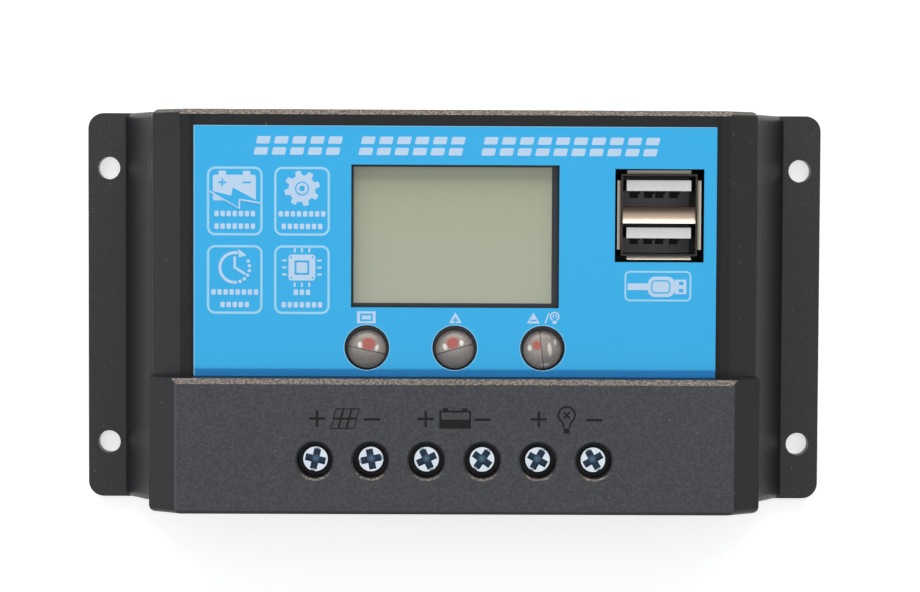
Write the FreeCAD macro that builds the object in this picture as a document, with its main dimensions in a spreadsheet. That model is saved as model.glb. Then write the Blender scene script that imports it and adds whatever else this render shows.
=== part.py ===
import FreeCAD, Part

import os
import re

import Sketcher

# Wall-mounted solar charge controller with a screw terminal strip under a raised hood.
# X runs along the case, Y up its face and Z out of it. The origin is the middle of the
# back face, which lies against the wall. All sizes are millimetres.

SIZES = {
    # Moulded case
    "case_width": 133.5,
    "case_height": 70.0,
    "wall": 2.0,
    "face_level": 29.5,
    "hood_rise": 5.5,
    "hood_length": 24.1,
    "hood_draft": 1.0,
    "end_chamfer": 0.9,
    "ear_thickness": 2.5,
    "ear_reach": 6.75,
    "ear_corner": 2.8,
    "ear_hole": 4.1,
    "ear_hole_edge": 3.75,
    "ear_hole_end": 10.0,
    "corner_round": 1.2,
    "skirt_level": 13.0,
    "skirt_lean": 5.8,
    "side_lean": 1.8,
    "bevel_width": 5.2,
    "bevel_drop": 4.5,
    "fit_gap": 0.05,
    "cut_over": 1.0,
    # Rear cover and its screws
    "cover_thickness": 2.0,
    "cover_gap": 0.3,
    "cover_boss": 6.4,
    "cover_pad_height": 1.5,
    "cover_pad_rim": 0.8,
    "rib_across": 36.0,
    "rib_width": 3.0,
    "rib_length": 20.0,
    "vent_width": 2.0,
    "vent_length": 14.0,
    "vent_pitch": 5.0,
    "vent_row": 16.0,
    "screw_head_width": 5.0,
    "screw_head_drop": 1.6,
    "screw_shank": 2.6,
    "screw_length": 8.0,
    "screw_play": 0.2,
    "screw_slot": 0.8,
    "screw_slot_share": 0.7,
    # Printed face label
    "label_side": 2.35,
    "label_end": 2.8,
    "label_thickness": 0.25,
    "label_recess": 0.3,
    # Display
    "window_width": 35.6,
    "window_height": 24.4,
    "window_up": 13.3,
    "glass_lap_across": 1.6,
    "glass_lap_up": 1.3,
    "glass_thickness": 1.8,
    "glass_gap": 0.3,
    "polariser_lap": 0.5,
    "polariser_thickness": 0.2,
    "frame_wall": 0.8,
    "frame_gap": 0.1,
    "strip_width": 2.0,
    "led_space": 3.2,
    "led_side": 2.8,
    "led_width": 2.6,
    "strip_short": 1.0,
    "led_height": 1.4,
    # Display board
    "display_board_edge": 2.7,
    "display_board_thickness": 1.6,
    "display_board_level": 20.2,
    "display_boss": 4.0,
    "display_boss_gap": 0.5,
    "display_boss_top": 26.0,
    "display_boss_bottom": -8.6,
    "small_head_width": 3.6,
    "small_head_drop": 1.2,
    "small_shank": 1.7,
    "small_length": 5.0,
    # Push buttons and their switches
    "button_pitch": 15.1,
    "button_row": -5.85,
    "button_hole": 7.6,
    "cap_width": 6.7,
    "cap_sag": 0.3,
    "cap_collar": 8.8,
    "cap_collar_height": 0.8,
    "cap_drop": 0.15,
    "cap_dome": 1.2,
    "cap_skin": 1.8,
    "button_travel": 0.3,
    "stem_width": 3.4,
    "stem_gap": 0.1,
    "stem_engage": 0.6,
    "switch_side": 6.0,
    "switch_height": 3.5,
    "switch_lid": 0.3,
    "switch_dome": 0.2,
    # Power board
    "power_board_gap_across": 0.8,
    "power_board_gap_up": 2.0,
    "power_board_thickness": 1.6,
    "power_board_level": 12.4,
    "power_boss": 5.5,
    "power_boss_inset": 3.5,
    "power_boss_end": 3.0,
    "lead_gap": 0.1,
    "lead_tail": 1.2,
    # Terminal strip
    "pole_pitch": 9.5,
    "pole_end": 10.2,
    "driver_hole": 6.1,
    "driver_hole_lead": 0.35,
    "block_end_wall": 0.9,
    "block_back": 8.2,
    "block_gap": 0.4,
    "nose_depth": 2.0,
    "nose_lip": 0.7,
    "nose_play": 0.2,
    "shoulder_depth": 3.0,
    "shoulder": 1.6,
    "terminal_head": 4.2,
    "terminal_head_height": 2.3,
    "thread_width": 3.0,
    "thread_gap": 0.05,
    "recess_width": 1.2,
    "recess_length": 3.5,
    "recess_depth": 1.3,
    "notch_width": 0.7,
    "notch_depth": 0.7,
    "clamp_width": 6.8,
    "clamp_length": 6.5,
    "clamp_wall": 1.0,
    "clamp_floor": 1.2,
    "clamp_nut": 2.4,
    "clamp_play": 0.2,
    "clamp_side_gap": 0.3,
    "wire_space": 4.8,
    "wire_entry": 5.2,
    "bar_thickness": 1.0,
    "bar_width": 4.0,
    "terminal_pin": 1.2,
    "terminal_pin_back": 3.0,
    # Twin socket
    "socket_side": 9.8,
    "socket_up": 17.1,
    "socket_raise": 0.1,
    "socket_gap_across": 0.4,
    "socket_gap_up": 0.28,
    "socket_width": 12.5,
    "port_height": 5.3,
    "port_pitch": 8.14,
    "port_depth": 11.2,
    "socket_sheet": 0.3,
    "socket_drop": 0.8,
    "socket_foot": 0.6,
    "lip_flare": 0.65,
    "lip_length": 1.1,
    "lip_across": 11.0,
    "lip_up": 11.9,
    "tongue_width": 11.1,
    "tongue_thickness": 1.84,
    "tongue_offset": 1.0,
    "tongue_drop": 0.7,
    "contact_width": 1.0,
    "contact_thickness": 0.2,
    "contact_inner": 1.0,
    "contact_outer": 3.5,
    "contact_share": 0.8,
    "socket_tab": 1.5,
    # Heat sink and power transistors
    "sink_width": 84.0,
    "sink_height": 24.0,
    "sink_up": 4.0,
    "sink_thickness": 2.0,
    "mosfet_pitch": 20.0,
    "mosfet_row": 0.5,
    "mosfet_width": 10.0,
    "mosfet_length": 9.0,
    "mosfet_thickness": 4.4,
    "mosfet_tab": 1.3,
    "mosfet_tab_length": 6.4,
    "mosfet_leg": 0.8,
    "mosfet_leg_pitch": 2.54,
    "mosfet_leg_reach": 3.0,
    "tab_screw_head": 5.4,
    "tab_screw_head_height": 1.8,
    "tab_screw_shank": 2.9,
    # Other parts on the power board
    "capacitor_width": 10.0,
    "capacitor_height": 12.5,
    "capacitor_across": -37.0,
    "capacitor_up": 11.0,
    "capacitor_pitch": 12.5,
    "capacitor_groove_level": 1.2,
    "capacitor_groove": 0.8,
    "capacitor_groove_depth": 0.3,
    "inductor_width": 11.0,
    "inductor_height": 7.0,
    "inductor_flange": 1.2,
    "inductor_waist": 6.0,
    "inductor_coil": 10.0,
    "inductor_across": 38.0,
    "inductor_up": -2.0,
    "fuse_length": 12.0,
    "fuse_thickness": 3.8,
    "fuse_height": 8.0,
    "fuse_up": -8.0,
    "fuse_blade_across": 3.0,
    "fuse_blade_width": 2.4,
    "fuse_blade_height": 3.2,
    "suppressor_width": 5.0,
    "suppressor_length": 9.0,
    "suppressor_up": -10.5,
    "shunt_length": 12.0,
    "shunt_width": 3.0,
    "shunt_height": 4.0,
    "shunt_sheet": 0.8,
    "chip_side": 10.0,
    "chip_height": 1.4,
    "chip_drop": 4.0,
    "regulator_side": 6.5,
    "regulator_height": 2.3,
    "header_pitch": 2.54,
    "header_body": 2.5,
    "header_up": 22.5,
    "header_pin": 0.64,
    "header_pin_end": 1.0,
    "header_pin_fit": 0.01,
    "square_to_round": 1.42,
}

EAR_CORNERS = 4
HEADER_PINS = 8
MOSFETS = 4
VENTS = 9
POLES = ("solar_plus", "solar_minus", "battery_plus", "battery_minus", "load_plus", "load_minus")
BUTTONS = ("menu", "up", "down")
SIDES = (-1, 1)

doc = FreeCAD.newDocument("charge_controller")
sheet = doc.addObject("Spreadsheet::Sheet", "size")
for row, (alias, value) in enumerate(SIZES.items(), start=1):
    sheet.set(f"A{row}", str(value))
    sheet.setAlias(f"A{row}", alias)
doc.recompute()

pieces = {}


# ---------------------------------------------------------------- drawing helpers


def formula(text):
    """Text with every size's name pointed at the sheet."""
    return re.sub(r"[a-z]\w*", lambda word: "size." + word.group(), str(text))


def amount(text):
    """The number that a formula gives with the sheet as it is."""
    found = sheet.evalExpression(formula(text))
    return float(getattr(found, "Value", found))


def bind(thing, **formulas):
    """Ties properties to formulas; a double underscore stands for a dot."""
    for name, text in formulas.items():
        thing.setExpression(name.replace("__", "."), formula(text))
    return thing


def keep(thing, label):
    """Names a finished sub-part."""
    thing.Label = label
    pieces[label] = thing
    return thing


def new_body(label):
    return keep(doc.addObject("PartDesign::Body", "body_" + label), label)


def new_sketch(body, plane, level=0):
    """An empty sketch on one of the body's own planes, raised along its normal."""
    drawn = body.newObject("Sketcher::SketchObject", "sketch")
    origin = next(f for f in body.Origin.OriginFeatures if f.Role == plane + "_Plane")
    drawn.AttachmentSupport = (origin, "")
    drawn.MapMode = "FlatFace"
    bind(drawn, AttachmentOffset__Base__z=level)
    return drawn


def fix_point(drawn, edge, end, point):
    """Holds a vertex or centre of a sketch at two formulas."""
    for kind, text in zip(("DistanceX", "DistanceY"), point):
        held = drawn.addConstraint(Sketcher.Constraint(kind, edge, end, amount(text)))
        drawn.setExpression(f"Constraints[{held}]", formula(text))


def add_outline(drawn, points):
    """A closed outline of straight edges."""
    corners = [FreeCAD.Vector(amount(x), amount(y), 0) for x, y in points]
    first = drawn.GeometryCount
    count = len(corners)
    for i in range(count):
        drawn.addGeometry(Part.LineSegment(corners[i], corners[(i + 1) % count]))
    for i in range(count):
        after = first + (i + 1) % count
        drawn.addConstraint(Sketcher.Constraint("Coincident", first + i, 2, after, 1))
    for i, point in enumerate(points):
        fix_point(drawn, first + i, 1, point)


def outline(body, plane, points, level=0):
    drawn = new_sketch(body, plane, level)
    add_outline(drawn, points)
    return drawn


def mirrored(points):
    """An outline from its right half, listed from the bottom up."""
    left = [(f"-({x})", y) for x, y in reversed(points)]
    return list(points) + left


def rectangles(body, plane, shapes, level=0):
    """Rectangles, each given by its centre and its two sides."""
    drawn = new_sketch(body, plane, level)
    for x, y, wide, high in shapes:
        left, right = f"({x}) - ({wide}) / 2", f"({x}) + ({wide}) / 2"
        low, top = f"({y}) - ({high}) / 2", f"({y}) + ({high}) / 2"
        add_outline(drawn, [(left, low), (right, low), (right, top), (left, top)])
    return drawn


def circles(body, plane, centres, diameter, level=0):
    drawn = new_sketch(body, plane, level)
    for centre in centres:
        x, y = (amount(text) for text in centre)
        ring = Part.Circle(FreeCAD.Vector(x, y, 0), FreeCAD.Vector(0, 0, 1), amount(diameter) / 2)
        edge = drawn.addGeometry(ring)
        fix_point(drawn, edge, 3, centre)
        held = drawn.addConstraint(Sketcher.Constraint("Diameter", edge, amount(diameter)))
        drawn.setExpression(f"Constraints[{held}]", formula(diameter))
    return drawn


def pad(body, drawn, length, both_ways=False, back=False):
    made = body.newObject("PartDesign::Pad", "pad")
    made.Profile = drawn
    made.Midplane = both_ways
    made.Reversed = back
    bind(made, Length=length)
    drawn.Visibility = False
    doc.recompute()
    return made


def pocket(body, drawn, depth, both_ways=False, back=False):
    """A cut that has to take something away."""
    before = body.Shape.Volume
    made = body.newObject("PartDesign::Pocket", "pocket")
    made.Profile = drawn
    made.Midplane = both_ways
    made.Reversed = back
    bind(made, Length=depth)
    doc.recompute()
    if not body.Shape.Volume < before:
        raise RuntimeError(f"a pocket in {body.Label} cuts nothing")
    return made


def edges_where(shape, test):
    """Names of the straight edges whose two ends both pass the test."""
    found = []
    for number, edge in enumerate(shape.Edges, start=1):
        ends = [vertex.Point for vertex in edge.Vertexes]
        if len(ends) == 2 and all(test(point) for point in ends):
            found.append(f"Edge{number}")
    return found


def near(one, other):
    return abs(one - other) < 1e-4


def ease(body, kind, edge_names, size):
    """A fillet or chamfer on the named edges of the body's last feature."""
    base = body.Tip
    made = body.newObject("PartDesign::" + kind, kind.lower())
    made.Base = (base, edge_names)
    bind(made, **{"Radius" if kind == "Fillet" else "Size": size})
    doc.recompute()
    if "Invalid" in made.State or not made.Shape.isValid():
        raise RuntimeError(f"a {kind.lower()} on {body.Label} has failed")
    return made


def place(thing, x, y, z):
    return bind(thing, Placement__Base__x=x, Placement__Base__y=y, Placement__Base__z=z)


def box(x, y, z, wide, deep, high):
    """A block centred on x and y that stands on z."""
    made = doc.addObject("Part::Box", "box")
    bind(made, Length=wide, Width=deep, Height=high)
    return place(made, f"({x}) - ({wide}) / 2", f"({y}) - ({deep}) / 2", z)


def cylinder(x, y, z, diameter, high):
    made = doc.addObject("Part::Cylinder", "cylinder")
    bind(made, Radius=f"({diameter}) / 2", Height=high)
    return place(made, x, y, z)


def fuse(*things):
    made = doc.addObject("Part::MultiFuse", "fuse")
    made.Shapes = list(things)
    return made


def cut(base, *tools):
    made = doc.addObject("Part::Cut", "cut")
    made.Base = base
    made.Tool = tools[0] if len(tools) == 1 else fuse(*tools)
    return made


def group(things, label):
    made = doc.addObject("Part::Compound", "group")
    made.Links = list(things)
    return keep(made, label)


# ---------------------------------------------------------------- places used by several pieces

CASE_FOOT = "(case_width / 2 - ear_reach)"
SKIRT_TOP = f"({CASE_FOOT} - skirt_lean)"
BEVEL_FOOT = f"({SKIRT_TOP} - side_lean)"
FACE_HALF = f"({BEVEL_FOOT} - bevel_width)"
CEILING = "(face_level - wall)"
HOOD_LEVEL = "(face_level + hood_rise)"
HOOD_LINE = "(-case_height / 2 + hood_length)"
HOOD_CEILING = f"({HOOD_LEVEL} - wall)"
CAVITY_HALF_UP = "(case_height / 2 - wall)"
CAVITY_FOOT = f"({CASE_FOOT} - 1.1 * wall)"
HOOD_INSIDE_END = "(-case_height / 2 + hood_draft + 0.9 * wall)"

COVER_SEAT = "(cover_thickness + cover_pad_height)"
COVER_BOSS_X = f"({SKIRT_TOP} - (wall + cover_boss) / 2)"
COVER_BOSS_Y = f"({CAVITY_HALF_UP} - cover_boss / 2 - cover_pad_rim)"
SINK_TOP = f"({COVER_SEAT} + sink_thickness)"
POWER_BACK = "(power_board_level - power_board_thickness)"
POWER_BOARD_WIDTH = f"(2 * {COVER_BOSS_X} - cover_boss - 2 * power_board_gap_across)"
POWER_BOARD_HEIGHT = f"(2 * {CAVITY_HALF_UP} - 2 * power_board_gap_up)"
POWER_BOSS_X = f"({POWER_BOARD_WIDTH} / 2 - power_boss_inset)"
POWER_BOSS_Y = f"({POWER_BOARD_HEIGHT} / 2 - power_boss_end)"
DISPLAY_BACK = "(display_board_level - display_board_thickness)"

LABEL_WIDTH = f"(2 * {FACE_HALF} - 2 * label_side)"
LABEL_TOP = "(case_height / 2 - label_end)"
GLASS_WIDTH = "(window_width + 2 * glass_lap_across)"
GLASS_HEIGHT = "(window_height + 2 * glass_lap_up)"
POLARISER_WIDTH = "(window_width + 2 * polariser_lap)"
POLARISER_HEIGHT = "(window_height + 2 * polariser_lap)"
POLARISER_TOP = f"({CEILING} - glass_gap)"
GLASS_TOP = f"({POLARISER_TOP} - polariser_thickness)"
GLASS_BACK = f"({GLASS_TOP} - glass_thickness)"

FRAME_HALF = f"({GLASS_WIDTH} / 2 + frame_gap + frame_wall)"
DISPLAY_BOSS_X = f"({FRAME_HALF} + display_boss_gap + display_boss / 2)"
DISPLAY_BOARD_WIDTH = f"(2 * {DISPLAY_BOSS_X} + 2 * display_board_edge)"
DISPLAY_BOARD_HEIGHT = "(display_boss_top - display_boss_bottom + 2 * display_board_edge)"
DISPLAY_BOARD_UP = "((display_boss_top + display_boss_bottom) / 2)"

CAP_Y = "(button_row - cap_sag)"
CAP_TOP = "(face_level - cap_drop)"
CAP_ROOF = f"({CAP_TOP} - cap_skin)"
COLLAR_TOP = f"({CEILING} - fit_gap)"
SWITCH_TOP = "(display_board_level + switch_height)"
STEM_FOOT = f"({SWITCH_TOP} - stem_engage)"
STEM_WELL = f"({STEM_FOOT} - button_travel - switch_dome)"

SOCKET_MOUTH = "(face_level - socket_drop)"
SOCKET_FLOOR = "(power_board_level + socket_foot)"
PORT_FLOOR = f"({SOCKET_MOUTH} - port_depth)"
SOCKET_X = f"({LABEL_WIDTH} / 2 - socket_side)"
SHELL_WIDTH = "(socket_width + 2 * socket_sheet)"
SHELL_HEIGHT = "(port_pitch + port_height + 2 * socket_sheet)"
WINDOWS = [
    ("0", "window_up", "window_width", "window_height"),
    (
        SOCKET_X,
        "socket_up - socket_raise",
        f"({SHELL_WIDTH} + 2 * lip_flare + 2 * socket_gap_across)",
        f"({SHELL_HEIGHT} + 2 * lip_flare + 2 * socket_gap_up)",
    ),
]

POLE_Y = "(-case_height / 2 + pole_end)"
CLAMP_FOOT = "(power_board_level + clamp_play)"
BAR_LEVEL = f"({CLAMP_FOOT} + clamp_floor + wire_space)"
NUT_LEVEL = f"({BAR_LEVEL} + bar_thickness + clamp_play)"
CLAMP_HEIGHT = "(clamp_floor + wire_space + bar_thickness + clamp_play + clamp_nut)"
BLOCK_LEVEL = f"({HOOD_CEILING} - block_gap)"
SHOULDER_LEVEL = f"({BLOCK_LEVEL} - shoulder_depth)"
HEAD_LEVEL = f"({SHOULDER_LEVEL} + fit_gap)"
BLOCK_HALF = "(pole_pitch * 3 + block_end_wall)"
BLOCK_FRONT = f"({HOOD_INSIDE_END} + fit_gap)"
BLOCK_REAR = f"({POLE_Y} + block_back)"
NOSE_HALF = "(pole_pitch * 3 - fit_gap)"
NOSE_LOW = f"({CLAMP_FOOT} + clamp_floor - nose_play - nose_lip)"
NOSE_TOP = f"({BAR_LEVEL} + nose_play + nose_lip)"
PIN_Y = f"({POLE_Y} + clamp_length / 2 + terminal_pin_back)"

POLE_X = [f"({i - 2.5} * pole_pitch)" for i in range(len(POLES))]
BUTTON_X = [f"({i} * button_pitch)" for i in (-1, 0, 1)]
MOSFET_X = [f"({i - 1.5} * mosfet_pitch)" for i in range(MOSFETS)]
HEADER_X = [f"({i - (HEADER_PINS - 1) / 2} * header_pitch)" for i in range(HEADER_PINS)]
LEG_Y = "(mosfet_row - mosfet_length / 2 - mosfet_leg_reach)"
TAB_SCREW_Y = "(mosfet_row + mosfet_length / 2 + mosfet_tab_length / 2)"
COVER_SCREWS = [(f"{a} * {COVER_BOSS_X}", f"{b} * {COVER_BOSS_Y}") for a in SIDES for b in SIDES]
POWER_SCREWS = [(f"{a} * {POWER_BOSS_X}", f"{b} * {POWER_BOSS_Y}") for a in SIDES for b in SIDES]
DISPLAY_SCREWS = [
    (f"{side} * {DISPLAY_BOSS_X}", height)
    for side in SIDES
    for height in ("display_boss_top", "display_boss_bottom")
]
EAR_HOLES = [
    (f"{a} * (case_width / 2 - ear_hole_edge)", f"{b} * (case_height / 2 - ear_hole_end)")
    for a in SIDES
    for b in SIDES
]
LEGS = [(f"{x} + {i} * mosfet_leg_pitch", LEG_Y) for x in MOSFET_X for i in (-1, 0, 1)]
SOCKET_TABS = [
    (f"{SOCKET_X} + {a} * ({SHELL_WIDTH} - socket_sheet) / 2", f"socket_up + {b} * port_pitch / 2")
    for a in SIDES
    for b in SIDES
]


# ---------------------------------------------------------------- case


def housing_outside(body):
    """Ears, leaning skirt, side walls, bevels, face and the raised hood as one solid."""
    profile = mirrored(
        [
            ("case_width / 2", "0"),
            ("case_width / 2", "ear_thickness"),
            (CASE_FOOT, "ear_thickness"),
            (SKIRT_TOP, "skirt_level"),
            (BEVEL_FOOT, "face_level - bevel_drop"),
            (FACE_HALF, "face_level"),
        ]
    )
    pad(body, outline(body, "XZ", profile), "case_height", both_ways=True)
    hood = mirrored(
        [
            (BEVEL_FOOT, "face_level - bevel_drop"),
            (BEVEL_FOOT, f"{HOOD_LEVEL} - bevel_drop"),
            (FACE_HALF, HOOD_LEVEL),
        ]
    )
    pad(body, outline(body, "XZ", hood, level=f"-{HOOD_LINE}"), f"case_height / 2 + {HOOD_LINE}")
    draft = [
        ("-case_height / 2 - wall", "ear_thickness"),
        ("-case_height / 2", "ear_thickness"),
        ("-case_height / 2 + hood_draft", HOOD_LEVEL),
        ("-case_height / 2 + hood_draft", f"{HOOD_LEVEL} + wall"),
        ("-case_height / 2 - wall", f"{HOOD_LEVEL} + wall"),
    ]
    pocket(body, outline(body, "YZ", draft), "case_width", both_ways=True)

    end, foot = amount("case_height / 2"), amount("ear_thickness")
    draft_rate = amount(f"hood_draft / ({HOOD_LEVEL} - ear_thickness)")

    def on_corner(point):
        top_end = near(point.y, end)
        bottom_end = near(point.y, -end + (point.z - foot) * draft_rate)
        return abs(point.x) < amount(CASE_FOOT) + 0.1 and (top_end or bottom_end)

    rising = [
        name
        for name in edges_where(body.Shape, on_corner)
        if body.Shape.getElement(name).BoundBox.ZLength > 1
    ]
    ease(body, "Fillet", rising, "corner_round")
    for edge_y, edge_z, way in (
        ("case_height / 2", "face_level", 1),
        ("-case_height / 2 + hood_draft", HOOD_LEVEL, -1),
        (HOOD_LINE, HOOD_LEVEL, 1),
    ):
        out, back_in = f"{edge_y} + {way} * wall", f"{edge_y} - {way} * (end_chamfer + wall)"
        slope = [(out, f"{edge_z} - end_chamfer - wall"), (out, f"{edge_z} + wall")]
        slope.append((back_in, f"{edge_z} + wall"))
        pocket(body, outline(body, "YZ", slope), "case_width", both_ways=True)


def housing_inside(body):
    """The hollow behind the face, the deeper one behind the hood, and the screw bosses."""
    cavity = mirrored(
        [
            (CAVITY_FOOT, "-cut_over"),
            (CAVITY_FOOT, "cover_thickness + fit_gap"),
            (f"{SKIRT_TOP} - wall", "skirt_level - 0.2 * wall"),
            (f"{BEVEL_FOOT} - wall", "face_level - bevel_drop - wall / 2"),
            (f"{FACE_HALF} - 0.4 * wall", CEILING),
        ]
    )
    pocket(body, outline(body, "XZ", cavity), f"2 * {CAVITY_HALF_UP}", both_ways=True)
    hood_cavity = mirrored(
        [
            (f"{BEVEL_FOOT} - wall", "face_level - 2 * bevel_drop"),
            (f"{BEVEL_FOOT} - wall", f"{HOOD_LEVEL} - bevel_drop - wall / 2"),
            (f"{FACE_HALF} - 0.4 * wall", HOOD_CEILING),
        ]
    )
    hood_length = f"{HOOD_LINE} - wall - {HOOD_INSIDE_END}"
    pocket(body, outline(body, "XZ", hood_cavity, level=f"-1 * {HOOD_INSIDE_END}"), hood_length)

    low_power = [place for place in POWER_SCREWS if place[1].startswith("-1")]
    high_power = [place for place in POWER_SCREWS if not place[1].startswith("-1")]
    for screws, width, seat, top in (
        (COVER_SCREWS, "cover_boss", COVER_SEAT, "skirt_level + 1.5 * wall"),
        (high_power, "power_boss", "power_board_level", "face_level"),
        (low_power, "power_boss", "power_board_level", HOOD_LEVEL),
        (DISPLAY_SCREWS, "display_boss", "display_board_level", "face_level"),
    ):
        pad(body, circles(body, "XY", screws, width, level=seat), f"{top} - wall / 2 - {seat}")
    for screws, shank, seat, length in (
        (COVER_SCREWS, "screw_shank", COVER_SEAT, "screw_length"),
        (POWER_SCREWS, "screw_shank", "power_board_level", "screw_length"),
        (DISPLAY_SCREWS, "small_shank", "display_board_level", "small_length"),
    ):
        holes = circles(body, "XY", screws, f"{shank} + 2 * fit_gap", level=seat)
        pocket(body, holes, length, back=True)


def housing_openings(body):
    """The label's recess, the windows, and the button, driver, wire and ear holes."""
    recess_height = f"{LABEL_TOP} + fit_gap - {HOOD_LINE}"
    recess_middle = f"({LABEL_TOP} + fit_gap + {HOOD_LINE}) / 2"
    recess = [("0", recess_middle, f"{LABEL_WIDTH} + 2 * fit_gap", recess_height)]
    pocket(body, rectangles(body, "XY", recess, level="face_level"), "label_recess")
    pocket(body, rectangles(body, "XY", WINDOWS, level="face_level"), "wall + cut_over")
    button_holes = [(x, "button_row") for x in BUTTON_X]
    pocket(body, circles(body, "XY", button_holes, "button_hole", level="face_level"), "wall + cut_over")

    first_hole = circles(body, "XY", [(POLE_X[0], POLE_Y)], "driver_hole", level=HOOD_LEVEL)
    driver = pocket(body, first_hole, "wall + cut_over")
    rim = next(
        f"Edge{number}"
        for number, edge in enumerate(body.Shape.Edges, start=1)
        if edge.Closed and near(edge.BoundBox.ZMin, amount(HOOD_LEVEL))
    )
    lead = ease(body, "Chamfer", [rim], "driver_hole_lead")
    row = body.newObject("PartDesign::LinearPattern", "driver_holes")
    row.Originals = [driver, lead]
    row.Direction = (next(f for f in body.Origin.OriginFeatures if f.Role == "X_Axis"), "")
    bind(row, Length="5 * pole_pitch")
    row.Occurrences = len(POLES)
    body.Tip = row
    doc.recompute()

    low, top = f"{NOSE_LOW} - fit_gap", f"{NOSE_TOP} + fit_gap"
    slot = [("0", f"({low} + {top}) / 2", "6 * pole_pitch", f"{top} - ({low})")]
    pocket(body, rectangles(body, "XZ", slot, level="case_height / 2 + cut_over"), "wall + 2 * cut_over")
    pocket(body, circles(body, "XY", EAR_HOLES, "ear_hole", level="ear_thickness"), "ear_thickness")


def front_housing():
    body = new_body("front_housing")
    housing_outside(body)
    housing_inside(body)
    housing_openings(body)
    side, end = amount("case_width / 2"), amount("case_height / 2")
    corners = edges_where(body.Shape, lambda p: near(abs(p.x), side) and near(abs(p.y), end))
    upright = [name for name in corners if body.Shape.getElement(name).BoundBox.ZLength > 1]
    if len(upright) != EAR_CORNERS:
        raise RuntimeError("the ears have lost a corner")
    ease(body, "Fillet", upright, "ear_corner")


def rear_cover():
    """Flat plate inside the foot of the case, with vents and two ribs for the heat sink."""
    body = new_body("rear_cover")
    plate = [("0", "0", f"2 * ({CAVITY_FOOT} - cover_gap)", f"2 * ({CAVITY_HALF_UP} - cover_gap)")]
    pad(body, rectangles(body, "XY", plate), "cover_thickness")
    pads = circles(body, "XY", COVER_SCREWS, "cover_boss + 2 * cover_pad_rim", level="cover_thickness")
    pad(body, pads, "cover_pad_height")
    ribs = [(f"{side} * rib_across", "sink_up", "rib_width", "rib_length") for side in SIDES]
    pad(body, rectangles(body, "XY", ribs, level="cover_thickness"), "cover_pad_height")
    sinks = circles(body, "XY", COVER_SCREWS, "screw_head_width + 2 * screw_play")
    pocket(body, sinks, "screw_head_drop + screw_play", back=True)
    bores = circles(body, "XY", COVER_SCREWS, "screw_shank + 2 * screw_play")
    pocket(body, bores, COVER_SEAT, back=True)
    vents = [
        (f"{i - (VENTS - 1) / 2} * vent_pitch", f"{side} * vent_row", "vent_width", "vent_length")
        for i in range(VENTS)
        for side in SIDES
    ]
    pocket(body, rectangles(body, "XY", vents, level="cover_thickness"), "cover_thickness")


def screw(x, y, underside, head, drop, shank, length, slot):
    """A pan-head screw that goes in upwards, its head hanging below the given level."""
    low = f"{underside} - {drop}"
    solid = fuse(cylinder(x, y, low, head, drop), cylinder(x, y, underside, shank, length))
    reach = f"screw_slot_share * {head}"
    one_way = box(x, y, low, slot, reach, f"{drop} / 2")
    other_way = box(x, y, low, reach, slot, f"{drop} / 2")
    return cut(solid, one_way, other_way)


def case_screws():
    big = ("screw_head_width", "screw_head_drop", "screw_shank", "screw_length", "screw_slot")
    small = ("small_head_width", "small_head_drop", "small_shank", "small_length", "screw_slot")
    seat = "(screw_head_drop + screw_play)"
    group([screw(x, y, seat, *big) for x, y in COVER_SCREWS], "rear_cover_screws")
    group([screw(x, y, POWER_BACK, *big) for x, y in POWER_SCREWS], "power_board_screws")
    group([screw(x, y, DISPLAY_BACK, *small) for x, y in DISPLAY_SCREWS], "display_board_screws")


def face_label():
    """Printed film in its recess, cut out round the windows and the buttons."""
    body = new_body("face_label")
    low = f"({HOOD_LINE} + fit_gap)"
    sheet_shape = [("0", f"({LABEL_TOP} + {low}) / 2", LABEL_WIDTH, f"{LABEL_TOP} - {low}")]
    floor = "face_level - label_recess"
    pad(body, rectangles(body, "XY", sheet_shape, level=floor), "label_thickness")
    edged = [(x, y, f"{wide} + 2 * fit_gap", f"{high} + 2 * fit_gap") for x, y, wide, high in WINDOWS]
    pocket(body, rectangles(body, "XY", edged, level="face_level"), "label_recess + cut_over")
    holes = circles(body, "XY", [(x, "button_row") for x in BUTTON_X], "button_hole + 2 * fit_gap",
                    level="face_level")
    pocket(body, holes, "label_recess + cut_over")


# ---------------------------------------------------------------- buttons and display


def button_cap(label, x):
    """Clear cap: a domed stem through the face and a collar that stops under it."""
    ball = doc.addObject("Part::Sphere", "sphere")
    bind(ball, Radius="(cap_width * cap_width / 4 + cap_dome * cap_dome) / (2 * cap_dome)")
    place(ball, x, CAP_Y, f"{CAP_TOP} - (cap_width * cap_width / 4 + cap_dome * cap_dome) / (2 * cap_dome)")
    crown = doc.addObject("Part::Common", "common")
    crown.Base = cylinder(x, CAP_Y, COLLAR_TOP, "cap_width", f"{CAP_TOP} - {COLLAR_TOP}")
    crown.Tool = ball
    low = f"{COLLAR_TOP} - cap_collar_height"
    collar = cylinder(x, CAP_Y, low, "cap_collar", "cap_collar_height")
    hollow = cylinder(x, CAP_Y, low, "stem_width + 2 * stem_gap", f"{CAP_ROOF} - ({low})")
    keep(cut(fuse(crown, collar), hollow), label)


def button_stem(label, x):
    keep(cylinder(x, CAP_Y, STEM_FOOT, "stem_width", f"{CAP_ROOF} - {STEM_FOOT}"), label)


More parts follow.
